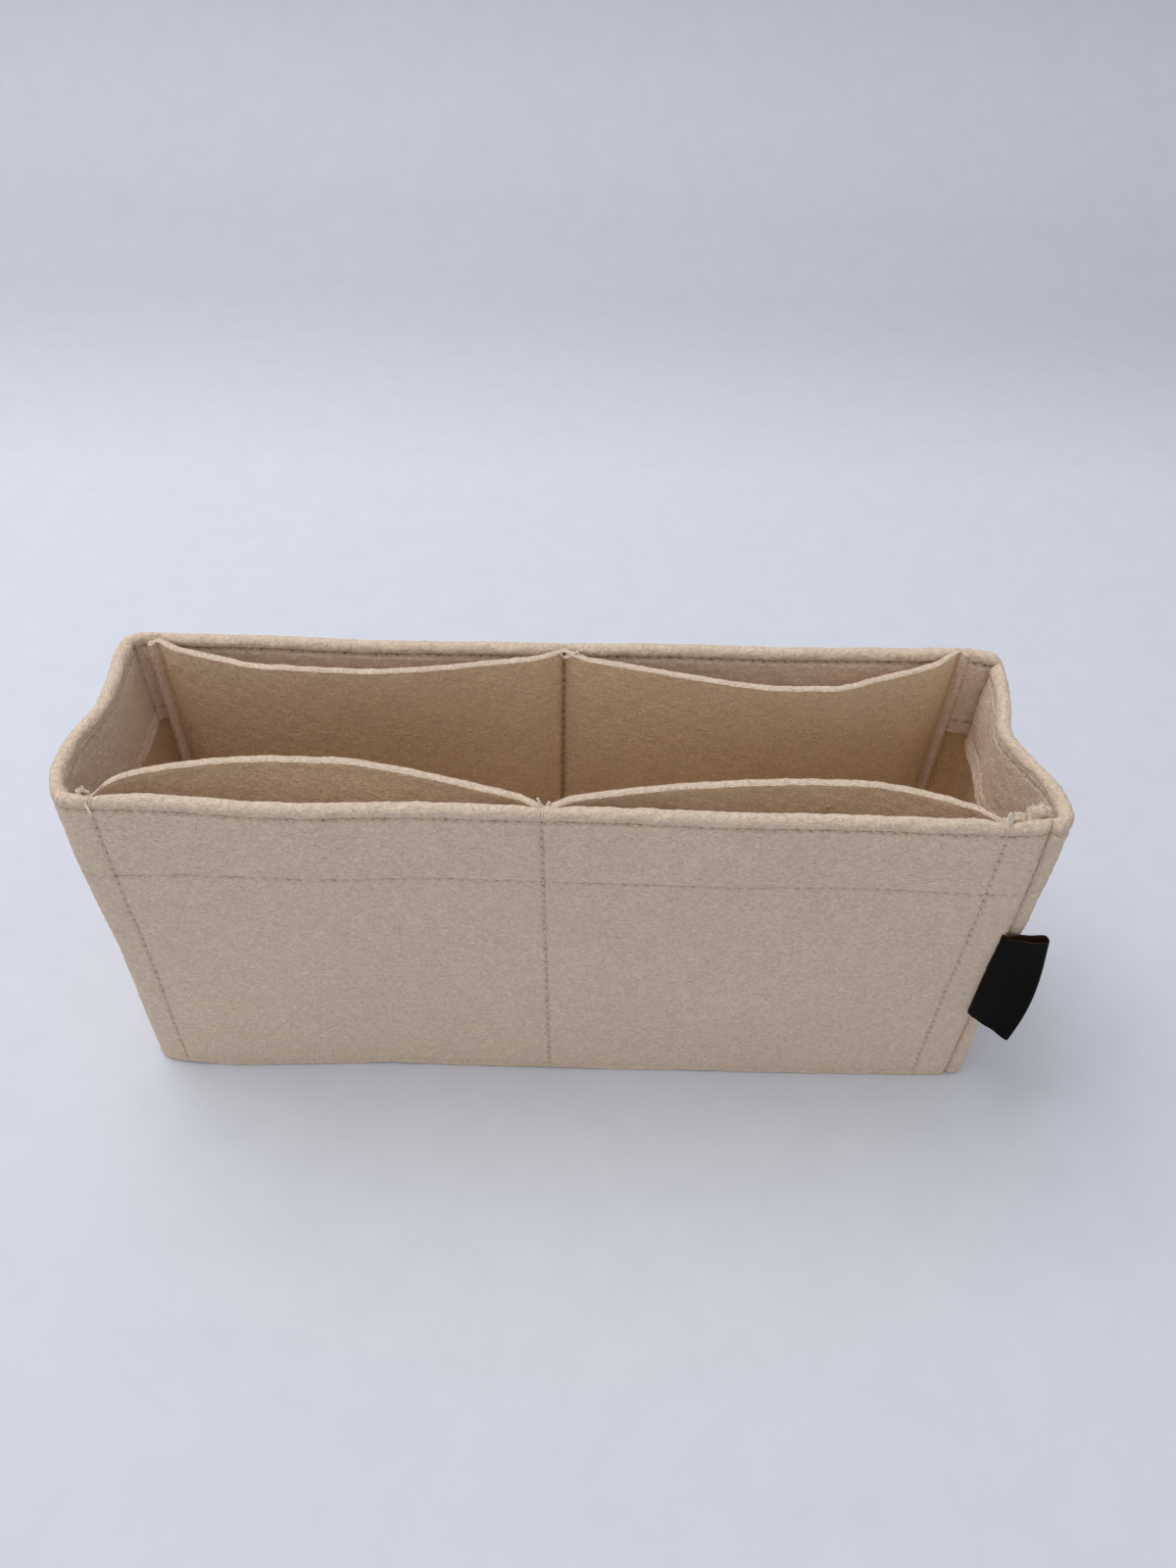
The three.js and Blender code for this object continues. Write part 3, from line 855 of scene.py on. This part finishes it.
def wrap_panel(name, start, end):
    columns = refined(start, end, COLUMN_STEP, UPRIGHT_SEAMS)
    u = columns[:, None]
    depth, z, out_depth, out_z, outer, inner = (SECTION[None, :, i] for i in range(SECTION.shape[1]))
    inner_marks = INNER_MARKS + (END_MARKS - INNER_MARKS) * on_end(u)
    groove, holes = (outer + inner * inner_marks) * wall_marks(u, z)
    relief = felt_lumps(WRAP_LUMPS, u, z + FACE_SHIFT * (depth > FELT / 2)) - groove - HOLE_DEPTH * holes
    on_rim = (1 - np.clip(outer + inner, 0, 1)) * (z > RIM_STITCH_HEIGHT)
    for seam in UPRIGHT_SEAMS:
        relief = relief - RIM_SEAM_DEPTH * bell(u - seam_line(seam, z), RIM_SEAM_WIDTH) * on_rim
    for valley in CORNER_VALLEYS:
        relief = relief - VALLEY_DEPTH * bell(u - valley, VALLEY_WIDTH) * inner
    bunch = CORNER_BUNCH * bell(u - RIGHT_START - BUNCH_AT, BUNCH_WIDTH)
    relief = relief + bunch * inner * smooth_step((RIM_STITCH_HEIGHT - z) / BUNCH_EASE)
    relief = relief + lip_flare(u) * inner * np.clip(hem_stitch_height(u) - z, 0, None) / LIP_HEIGHT
    foot = FOOT_LIFT * np.clip(soft_noise(*FOOT_WAVE, u), 0, 1) * np.clip(1 - z / FOOT_LIFT_HEIGHT, 0, 1)
    points = place(u, depth + out_depth * relief, z + out_z * relief + foot)
    quads, caps = ring_faces(len(columns), len(SECTION))
    slots = [*np.tile(ROW_FELTS, len(columns) - 1), 0, 0]
    return mesh_object(name, points, quads + caps, WRAP_FELTS, slots, holes=holes)


# Stitches: each is a short thread that dives into the felt at both ends
def stitch_runs(low, high):
    """Points along each stitch between low and high, and how far each stands off the felt."""
    starts = np.arange(math.ceil(low / STITCH_PITCH), math.floor(high / STITCH_PITCH)) * STITCH_PITCH
    share = np.linspace(*STITCH_SPAN, STITCH_POINTS)
    arch = STITCH_ARCH * np.sin(np.linspace(0.0, math.pi, STITCH_POINTS)) ** ARCH_POWER - ARCH_SINK
    return starts[:, None] + share * STITCH_PITCH, arch


def laid(u, z, arch, face_depth, sunk, outside):
    """Paths and normals of stitches on the wrap's outer or inner face."""
    _, _, nx, ny = wrap_path(u)
    sign = -1 if outside else 1
    normals = np.stack([sign * nx, sign * ny, np.zeros_like(nx)], -1)
    return place(u, face_depth + sign * (arch - sunk), z), normals


def level_stitches(low, high, height_at, face_depth, sunk, outside):
    u, arch = stitch_runs(low, high)
    z = height_at(u) + LEVEL_WANDER * soft_noise(*LEVEL_WAVE, u)
    return laid(u, z, arch, face_depth, sunk, outside)


def upright_stitches(seam):
    z, arch = stitch_runs(UPRIGHT_FOOT, RIM_STITCH_HEIGHT)
    u = seam_line(seam, z) + UPRIGHT_WANDER * soft_noise(*UPRIGHT_WAVE, z)
    return laid(u, z, arch, 0, SEAM_SUNK, True)


def rim_stitches(seam):
    """The last stitches of an upright seam, sewn twice over the rolled rim."""
    turned = np.linspace(0, math.radians(OVER_RIM_DEG), STITCH_POINTS)
    angles = math.pi + math.radians(RIM_WRAP_DEG) - turned
    radius = RIM_RADIUS - OVER_RIM_SUNK
    sway = OVER_RIM_SWAY * np.sin(angles * OVER_RIM_TURNS)
    u = seam_line(seam, HEIGHT) + np.array(OVER_RIM_SHIFTS)[:, None] + sway
    depth = FELT + radius * np.cos(angles)
    z = HEIGHT - RIM_RADIUS + radius * np.sin(angles)
    _, _, nx, ny = wrap_path(u)
    normals = np.stack(np.broadcast_arrays(nx * np.cos(angles), ny * np.cos(angles), np.sin(angles)), -1)
    return place(u, depth, z), normals


def stitch_piece(name, rows):
    paths = np.concatenate([row[0] for row in rows])
    normals = np.concatenate([row[1] for row in rows])
    piece = tubes(name, paths, normals, THREAD_RADIUS, thread)
    return piece


def double_row(low, high, height_at, sunk):
    """A level row as it shows on the outer and on the inner face."""
    faces = ((0, True), (HEM_THICKNESS, False))
    return [level_stitches(low, high, height_at, depth, sunk, outside) for depth, outside in faces]


# The wrap's panels: where they meet along u, and each one's bodies, bend and solids
CUTS = (0, FRONT_END - CORNER_REACH, LEFT_CREASE - CREASE_REACH, LEFT_CREASE + CREASE_REACH,
        BACK_START + CORNER_REACH, BACK_END - CORNER_REACH, RIGHT_CREASE - CREASE_REACH,
        RIGHT_CREASE + CREASE_REACH, WRAP_LENGTH)


def corner_blend(x_side, y_side):
    """Start and end of the bend at a corner, from the long wall to the end."""
    x = x_side * (FLAT_HALF - CORNER_INSIDE)
    y = y_side * (HALF_DEPTH - CORNER_INSIDE)
    return (x * MM, y * MM, 0), ((x + x_side * CORNER_BLEND) * MM, (y - y_side * CORNER_BLEND) * MM, 0)


def crease_blend(x_side, y_from):
    return (x_side * HALF_LENGTH * MM, y_from * MM, 0), (x_side * HALF_LENGTH * MM, -y_from * MM, 0)


PANELS = (
    ("front", ("front",), None, "front"),
    ("front_left_corner", ("front", "left_front"), corner_blend(-1, -1), "left_end_front"),
    ("left_crease", ("left_front", "left_rear"), crease_blend(-1, -CREASE_BLEND), None),
    ("back_left_corner", ("left_rear", "back"), corner_blend(-1, 1)[::-1], "left_end_rear"),
    ("back", ("back",), None, "back"),
    ("back_right_corner", ("back", "right_rear"), corner_blend(1, 1), "right_end_rear"),
    ("right_crease", ("right_rear", "right_front"), crease_blend(1, CREASE_BLEND), None),
    ("right_front_end", ("right_front",), None, "right_end_front"),
)


def carry(piece, bodies, bend):
    """Moves a piece with one body; a piece between two bodies keeps its place, with its transform baked in.
    """
    if bend is None:
        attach(piece, bodies[0])
    else:
        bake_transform(piece)


def make_wrap():
    for (name, bodies, bend, node), start, end in zip(PANELS, CUTS[:-1], CUTS[1:]):
        panel = wrap_panel(f"wrap_{name}", start, end)
        carry(panel, bodies, bend)
        rows = {
            "rim_stitch": double_row(start, end, rim_stitch_height, RIM_SUNK),
            "hem_stitch": double_row(start, end, hem_stitch_height, SEAM_SUNK),
            "base_seam": [level_stitches(start, end, lambda u: BASE_STITCH_HEIGHT, FELT, BASE_SUNK, False)],
        }
        for thread_name, row in rows.items():
            piece = stitch_piece(f"{name}_{thread_name}es", row)
            carry(piece, bodies, bend)
            if node:
                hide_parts(f"{node}_{thread_name}")
        if node:
            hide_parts(f"{node}_wall" if node in ("front", "back") else node)


make_wrap()


# Pockets
def wall_depth(z):
    """Depth of a pocket panel at its seams: it eases from the wall's foot out to the hem."""
    share = (z - POCKET_FOOT) / (HEIGHT - HEM_DEPTH - POCKET_FOOT)
    return FELT + SEAT_GAP + FELT * smooth_step(share)


def swell(share, straight, sharpness):
    """Rise of a mouth from a seam: a quarter wave, or a slope that kinks into level."""
    wave = np.sin(math.pi / 2 * np.clip(share, 0, 1))
    slope = 1 - np.log1p(np.exp(sharpness * (1 - share))) / sharpness
    return (1 - straight) * wave + straight * np.clip(slope, 0, 1)


def pocket_swell(name, seams, x):
    _, left_rise, right_rise, left_straight, right_straight, _, _ = BULGES[name]
    steep = STEEP_STARTS.get(name, 0.0)
    sharpness = SHARP_KINKS.get(name, KINK_SHARPNESS)
    from_left = (1 - steep) * swell((x - seams[0]) / left_rise, left_straight, sharpness)
    from_left = from_left + steep * np.tanh(np.clip(x - seams[0], 0, None) / STEEP_REACH)
    from_right = swell((seams[1] - x) / right_rise, right_straight, sharpness)
    return np.minimum(from_left, from_right)


def pocket_point(name, side, seams, x, depth, z):
    share = pocket_swell(name, seams, x)
    rise = (z - POCKET_FOOT) / (MOUTH_HEIGHT - POCKET_FOOT)
    bulge = BULGES[name][0] * share * rise
    u = wall_u(side, x)
    pressed = 1 - POCKET_PINCH * (1 - seam_pinch(u))
    layers = wall_depth(z) * pressed + depth
    y = side * (HALF_DEPTH - layers - wall_wave(u, z) - bulge)
    stand = 0
    for lift, away in zip(BULGES[name][-2:], (x - seams[0], seams[1] - x)):
        stand = stand + lift * np.exp(-np.clip(away, 0, None) / MOUTH_LIFT_REACH)
    lifted = z + rim_lift(u, z) + stand * np.clip(rise, 0, 1) ** MOUTH_LIFT_POWER
    return np.stack(np.broadcast_arrays(x, y, lifted), -1)


def pocket_half(piece_name, name, side, seams, start, end):
    columns = refined(start, end, POCKET_STEP, seams)
    heights = refined(POCKET_FOOT, MOUTH_HEIGHT, ROW_STEP, ())
    shoulders = [*heights[:-1], MOUTH_HEIGHT - CUT_ROUND]
    ring = [(0, z, -1, 0) for z in shoulders]
    ring += [(CUT_ROUND, MOUTH_HEIGHT, 0, 1), (FELT - CUT_ROUND, MOUTH_HEIGHT, 0, 1)]
    ring += [(FELT, z, 1, 0) for z in shoulders[::-1]]
    ring = np.array(ring)
    x = columns[:, None]
    depth, z, out_depth, out_z = (ring[None, :, i] for i in range(ring.shape[1]))
    relief = felt_lumps(POCKET_LUMPS, x, z + FACE_SHIFT * (depth > FELT / 2))
    fray = FRAY_HEIGHT * soft_noise(*FRAY_WAVE, x, FRAY_STRETCH * depth) * (out_z > 0)
    marks = 0
    margin = 0
    painted_seam_shade = 0
    for seam, outwards in zip(seams, (-1, 1)):
        middle = seam in (FRONT_SEAMS[1], BACK_SEAMS[1])
        row = MIDDLE_GROOVE if middle else SIDE_GROOVE
        marks = marks + stitch_marks(z, x - seam, *row) * (out_depth > 0)
        # Painted shade: a dark line down the middle seam
        painted_seam_shade = painted_seam_shade + SEAM_SHADE * middle * bell(x - seam, HOLE_WIDTH) * (out_depth > 0)
        past = np.clip((x - seam) * outwards / POCKET_MARGIN, 0, 1) * (not middle)
        margin = np.maximum(margin, past)
    groove, holes = marks
    shade = np.maximum(holes, painted_seam_shade)
    ridge = MARGIN_RIDGE * np.sin(math.pi * margin) * (out_depth > 0)
    sunk = depth + out_depth * (relief - groove - HOLE_DEPTH * holes + ridge)
    flare = MOUTH_FLARE * smooth_step(1 - (MOUTH_HEIGHT - z) / MOUTH_FLARE_REACH)
    sunk = sunk - flare * (1 - depth / FELT)
    drop = MARGIN_DROP * margin * smooth_step((z - POCKET_FOOT) / (MOUTH_HEIGHT - POCKET_FOOT))
    points = pocket_point(name, side, seams, x, sunk, z + out_z * (relief + fray) - drop)
    quads, caps = ring_faces(len(columns), len(ring))
    rows = np.tile(np.arange(len(ring)), len(columns) - 1)
    top = len(heights) - 1
    cut = (rows >= top) & (rows <= top + 2)
    beyond = np.repeat(margin[:-1, 0] + margin[1:, 0] > MARGIN_SHARE, len(ring))
    slots = np.concatenate([np.where(cut, 1, 2 * beyond), [1, 1]])
    flip = (end > start) == (side < 0)
    faces = [face[::-1] for face in quads + caps] if flip else quads + caps
    return mesh_object(piece_name, points, faces, [felt_pocket, felt_cut, felt_inner_painted_light], slots, holes=shade)


def make_pocket(name, side, seams, edges):
    _, left_rise, right_rise, *_ = BULGES[name]
    middle = (seams[0] + left_rise + seams[1] - right_rise) / 2
    halves = (
        ("left", edges[0], middle, seams[0], left_rise),
        ("right", middle, edges[1], seams[1], -right_rise),
    )
    for half, start, end, seam, rise in halves:
        piece = pocket_half(f"{name}_{half}_half", name, side, seams, start, end)
        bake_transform(piece)
        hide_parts(name)


def pocket_seam(name, wall, side, x, seams, pocket):
    """An upright seam: stitches on the wall outside and on the panel inside the box."""
    u = wall_u(side, x)
    z, arch = stitch_runs(POCKET_FOOT, HEIGHT - PANEL_TOP_GAP)
    paths = pocket_point(pocket, side, seams, np.full_like(z, x), FELT - PANEL_SUNK + arch, z)
    normals = np.broadcast_to((0.0, -side, 0.0), paths.shape)
    piece = stitch_piece(f"{name}_stitches", [upright_stitches(u), (paths, normals), rim_stitches(u)])
    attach(piece, wall)
    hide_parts(name)


def make_pockets():
    for wall, side, seams in WALLS:
        left, middle, right = seams
        make_pocket(f"{wall}_left_pocket", side, (left, middle), (left - POCKET_MARGIN, middle))
        make_pocket(f"{wall}_right_pocket", side, (middle, right), (middle, right + POCKET_MARGIN))
        for place_name, x in zip(("left", "middle", "right"), seams):
            pocket_side = "right" if place_name == "right" else "left"
            pair = (middle, right) if place_name == "right" else (left, middle)
            pocket = f"{wall}_{pocket_side}_pocket"
            pocket_seam(f"{wall}_{place_name}_pocket_seam", wall, side, x, pair, pocket)
        low, high = sorted(wall_u(side, x) for x in (left, right))
        row = level_stitches(low, high, lambda u: FOOT_STITCH_HEIGHT, 0, SEAM_SUNK, True)
        foot = stitch_piece(f"{wall}_pocket_foot_stitches", [row])
        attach(foot, wall)
        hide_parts(f"{wall}_pocket_foot_seam")


make_pockets()


# Base panel
def make_base():
    """An uneven felt rectangle with round corners, just inside the wrap's foot."""
    half_x, half_y = BASE_HIGH[0], BASE_HIGH[1]
    radius = BEND - FELT - SEAT_GAP
    x = np.linspace(-half_x, half_x, BASE_COLUMNS)
    inset = np.clip(np.abs(x) - (half_x - radius), 0, radius)
    reach = half_y - (radius - np.sqrt(np.clip(radius**2 - inset**2, 0, None)))
    share = np.linspace(-1, 1, BASE_ROWS)
    across = np.concatenate([share, share[::-1]])
    top = np.repeat([0, 1], BASE_ROWS)
    y = reach[:, None] * across
    z = np.where(top, BASE_HIGH[2], BASE_UNDER) + felt_lumps(BASE_LUMPS, x[:, None], y + FACE_SHIFT * top)
    points = np.stack(np.broadcast_arrays(x[:, None], y, z), -1)
    quads, caps = ring_faces(len(x), 2 * BASE_ROWS)
    piece = mesh_object("base_felt", points, quads + caps, [felt_base])
    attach(piece, "front")
    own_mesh(piece)
    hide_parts("base_panel")


make_base()


# Closing seam and label
def make_closing_seam():
    z, arch = stitch_runs(CLOSING_FOOT, HEIGHT - CLOSING_TOP_GAP)
    u = CLOSING_AT + UPRIGHT_WANDER * soft_noise(*CLOSING_WAVE, z)
    piece = stitch_piece("closing_seam_stitches", [laid(u, z, arch, 0, CLOSING_SUNK, True)])
    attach(piece, "front")
    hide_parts("closing_seam")


def ribbon_section():
    """Midline of the doubled ribbon: out from the seam, round the fold and back."""
    run = np.linspace(0, 1, RIBBON_STEPS)
    side = RIBBON_ROOT_GAP + LABEL_HALF_GAP * np.sin(np.clip(run * RIBBON_OPENING, 0, 1) * math.pi / 2)
    straight = run * (LABEL_WIDTH - LABEL_HALF_GAP)
    fold = np.linspace(-math.pi / 2, math.pi / 2, RIBBON_FOLD_STEPS)[1:-1]
    out = np.concatenate([straight, straight[-1] + LABEL_HALF_GAP * np.cos(fold), straight[::-1]])
    across = np.concatenate([-side, side[-1] * np.sin(fold), side[::-1]])
    return np.stack([out, across], -1)


def make_label():
    """A ribbon folded double, with its ends in the seam, that twists to the front at its foot."""
    flap = JOINTS["label_flap"]["pos_m"]
    line = ribbon_section()
    along = np.gradient(line, axis=0)
    along /= np.linalg.norm(along, axis=1, keepdims=True)
    normal = np.stack([along[:, 1], -along[:, 0]], -1) * LABEL_THICKNESS / 2
    ring = np.concatenate([line + normal, (line - normal)[::-1]])
    z = np.linspace(LABEL_FOOT, LABEL_TOP, LABEL_ROWS)[:, None]
    share = (z - LABEL_FOOT) / (LABEL_TOP - LABEL_FOOT)
    turn = math.radians(LABEL_FOOT_TURN_DEG) * (1 - share) ** LABEL_TURN_POWER
    turn = turn + math.radians(LABEL_TOP_TURN_DEG) * share
    out = ring[None, :, 0] * (1 + LABEL_BELLY * np.sin(share * math.pi))
    turn = turn * np.clip(out / LABEL_WIDTH, 0, None) ** LABEL_ROOT_POWER
    across = ring[None, :, 1] * (LABEL_FOOT_OPEN + LABEL_TOP_OPEN * share)
    x = flap[0] / MM + LABEL_ROOT_X + out * np.cos(turn) - across * np.sin(turn)
    off_felt = LABEL_RISE * smooth_step(out / LABEL_RISE_REACH) - LABEL_SINK
    y = flap[1] / MM - off_felt + out * np.sin(turn) + across * np.cos(turn)
    ripple = LABEL_RIPPLE * np.sin(share * LABEL_RIPPLES + out)
    points = np.stack(np.broadcast_arrays(x, y, z + ripple), -1)
    count = len(line)
    quads, _ = ring_faces(len(z), 2 * count)
    ends = []
    for level, turned in ((0, True), (len(z) - 1, False)):
        start = level * 2 * count
        for i in range(count - 1):
            face = [start + i, start + i + 1, start + 2 * count - 2 - i, start + 2 * count - 1 - i]
            ends.append(face[::-1] if turned else face)
    inside = np.tile(np.arange(2 * count) >= count, len(z) - 1)
    slots = np.concatenate([inside.astype(int), np.ones(len(ends), int)])
    piece = mesh_object("ribbon_label_loop", points, quads + ends, [ribbon, ribbon_inside], slots)
    start = (flap[0], flap[1], 0)
    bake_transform(piece)
    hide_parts("ribbon_label")


def curve_beside(seam, points, count):
    """Smooth curve through a few points whose x is given from a seam."""
    points = np.array(points) + (seam, 0, 0)
    steps = np.linspace(0, len(points) - 1, count)
    line = np.stack([np.interp(steps, range(len(points)), values) for values in points.T], -1)
    for _ in range(CURVE_PASSES):
        line[1:-1] = (line[:-2] + 2 * line[1:-1] + line[2:]) / 4
    return line


def make_tails():
    """Cut thread ends at the tops of the seams."""
    for wall, _, seams in WALLS:
        paths = [curve_beside(seams[seam], points, TAIL_POINTS) for seam, points in TAILS[wall]]
        piece = tubes(f"{wall}_thread_tails", paths, TAIL_UP, TAIL_RADIUS, thread_tail_painted_light)
        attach(piece, wall)


def make_frayed_corners():
    """Felt corners that stand up at the rim as short lumpy rolls."""
    for name, (seam, points, radii) in NUBS.items():
        path = curve_beside(FRONT_SEAMS[seam], points, NUB_POINTS)
        widths = np.interp(np.linspace(0, 1, NUB_POINTS), np.linspace(0, 1, len(radii)), radii)
        piece = tubes(name, path[None], NUB_UP, widths[None], felt_cut, sides=NUB_SIDES, lumps=NUB_LUMP)
        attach(piece, "front")


def make_seam_allowance():
    """The wrap's turned-in edge, a narrow strip behind the closing seam."""
    z = np.linspace(STRIP_END_GAP, HEIGHT - STRIP_END_GAP, STRIP_ROWS)[:, None]
    width, thick, edge = STRIP_WIDTH, STRIP_THICKNESS, CUT_ROUND
    near = [(-width, edge), (edge - width, 0.0), (-width / 2, 0.0), (-edge, 0.0), (0.0, edge)]
    ring = np.array(near + [(x, thick - y) for x, y in near[::-1]])
    sway = STRIP_SWAY * soft_noise(*STRIP_WAVE, z)
    x = FLAT_HALF - STRIP_INSET + ring[None, :, 0] + sway
    y = -HALF_DEPTH + HEM_THICKNESS + STRIP_OFF_HEM + ring[None, :, 1] - sway
    points = np.stack(np.broadcast_arrays(x, y, z), -1)
    quads, caps = ring_faces(len(z), len(ring))
    piece = mesh_object("closing_seam_allowance", points, quads + caps, [felt_cut])
    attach(piece, "front")


make_closing_seam()
make_label()
make_tails()
make_frayed_corners()
make_seam_allowance()


# Floor, light and camera
def make_floor():
    """A pale sheet that curves up behind the object."""
    profile = [(-FLOOR_REACH, 0.0)]
    for angle in np.linspace(0, math.pi / 2, FLOOR_BEND_STEPS):
        profile.append((FLOOR_BACK + FLOOR_RADIUS * math.sin(angle), FLOOR_RADIUS * (1 - math.cos(angle))))
    profile.append((FLOOR_BACK + FLOOR_RADIUS, FLOOR_RISE))
    points = [(x / MM, y / MM, z / MM) for x in (-FLOOR_REACH, FLOOR_REACH) for y, z in profile]
    count = len(profile)
    faces = [(i, i + count, i + count + 1, i + 1) for i in range(count - 1)]
    material, tree, coords = new_material("floor")
    grain_colour = ramp_node(tree, noise_node(tree, coords, *FLOOR_NOISE), FLOOR_GRAIN)
    back_along = add_node(tree, "SeparateXYZ", {}, "Vector", coords).outputs["Y"]
    # Painted shade: the sheet darkens where it curves up at the back
    painted_shade = ramp_node(tree, back_along, FLOOR_PAINTED_SHADE)
    dress(material, multiply_node(tree, grain_colour, painted_shade), FLOOR_LOOK)
    floor = mesh_object("floor", points, faces, [material])


def make_light():
    world = bpy.data.worlds.new("studio")
    bpy.context.scene.world = world
    world.use_nodes = True
    set_inputs(world.node_tree.nodes["Background"], {"Color": SKY_COLOUR, "Strength": SKY_STRENGTH})
    data = bpy.data.lights.new("overhead", "AREA")
    data.shape = "DISK"
    data.size = LAMP_SIZE
    data.energy = LAMP_POWER
    lamp = bpy.data.objects.new("overhead", data)
    lamp.location = LAMP_AT
    lamp.rotation_euler = (Vector(LAMP_TARGET) - Vector(LAMP_AT)).to_track_quat("-Z", "Y").to_euler()
    bpy.context.scene.collection.objects.link(lamp)


def make_camera():
    data = bpy.data.cameras.new("camera")
    data.sensor_fit = "HORIZONTAL"
    data.sensor_width = SENSOR_MM
    data.lens = SENSOR_MM * FOCAL_PX / IMAGE_WIDTH_PX
    data.clip_start = CLIP_START
    camera = bpy.data.objects.new("camera", data)
    pose = Matrix.Translation(Vector(CAMERA_MM) * MM)
    for degrees, axis in CAMERA_TURNS_DEG:
        pose = pose @ Matrix.Rotation(math.radians(degrees), 4, axis)
    camera.matrix_world = pose
    bpy.context.scene.collection.objects.link(camera)
    bpy.context.scene.camera = camera


make_floor()
make_light()
make_camera()
bpy.context.scene.view_settings.view_transform = "Standard"
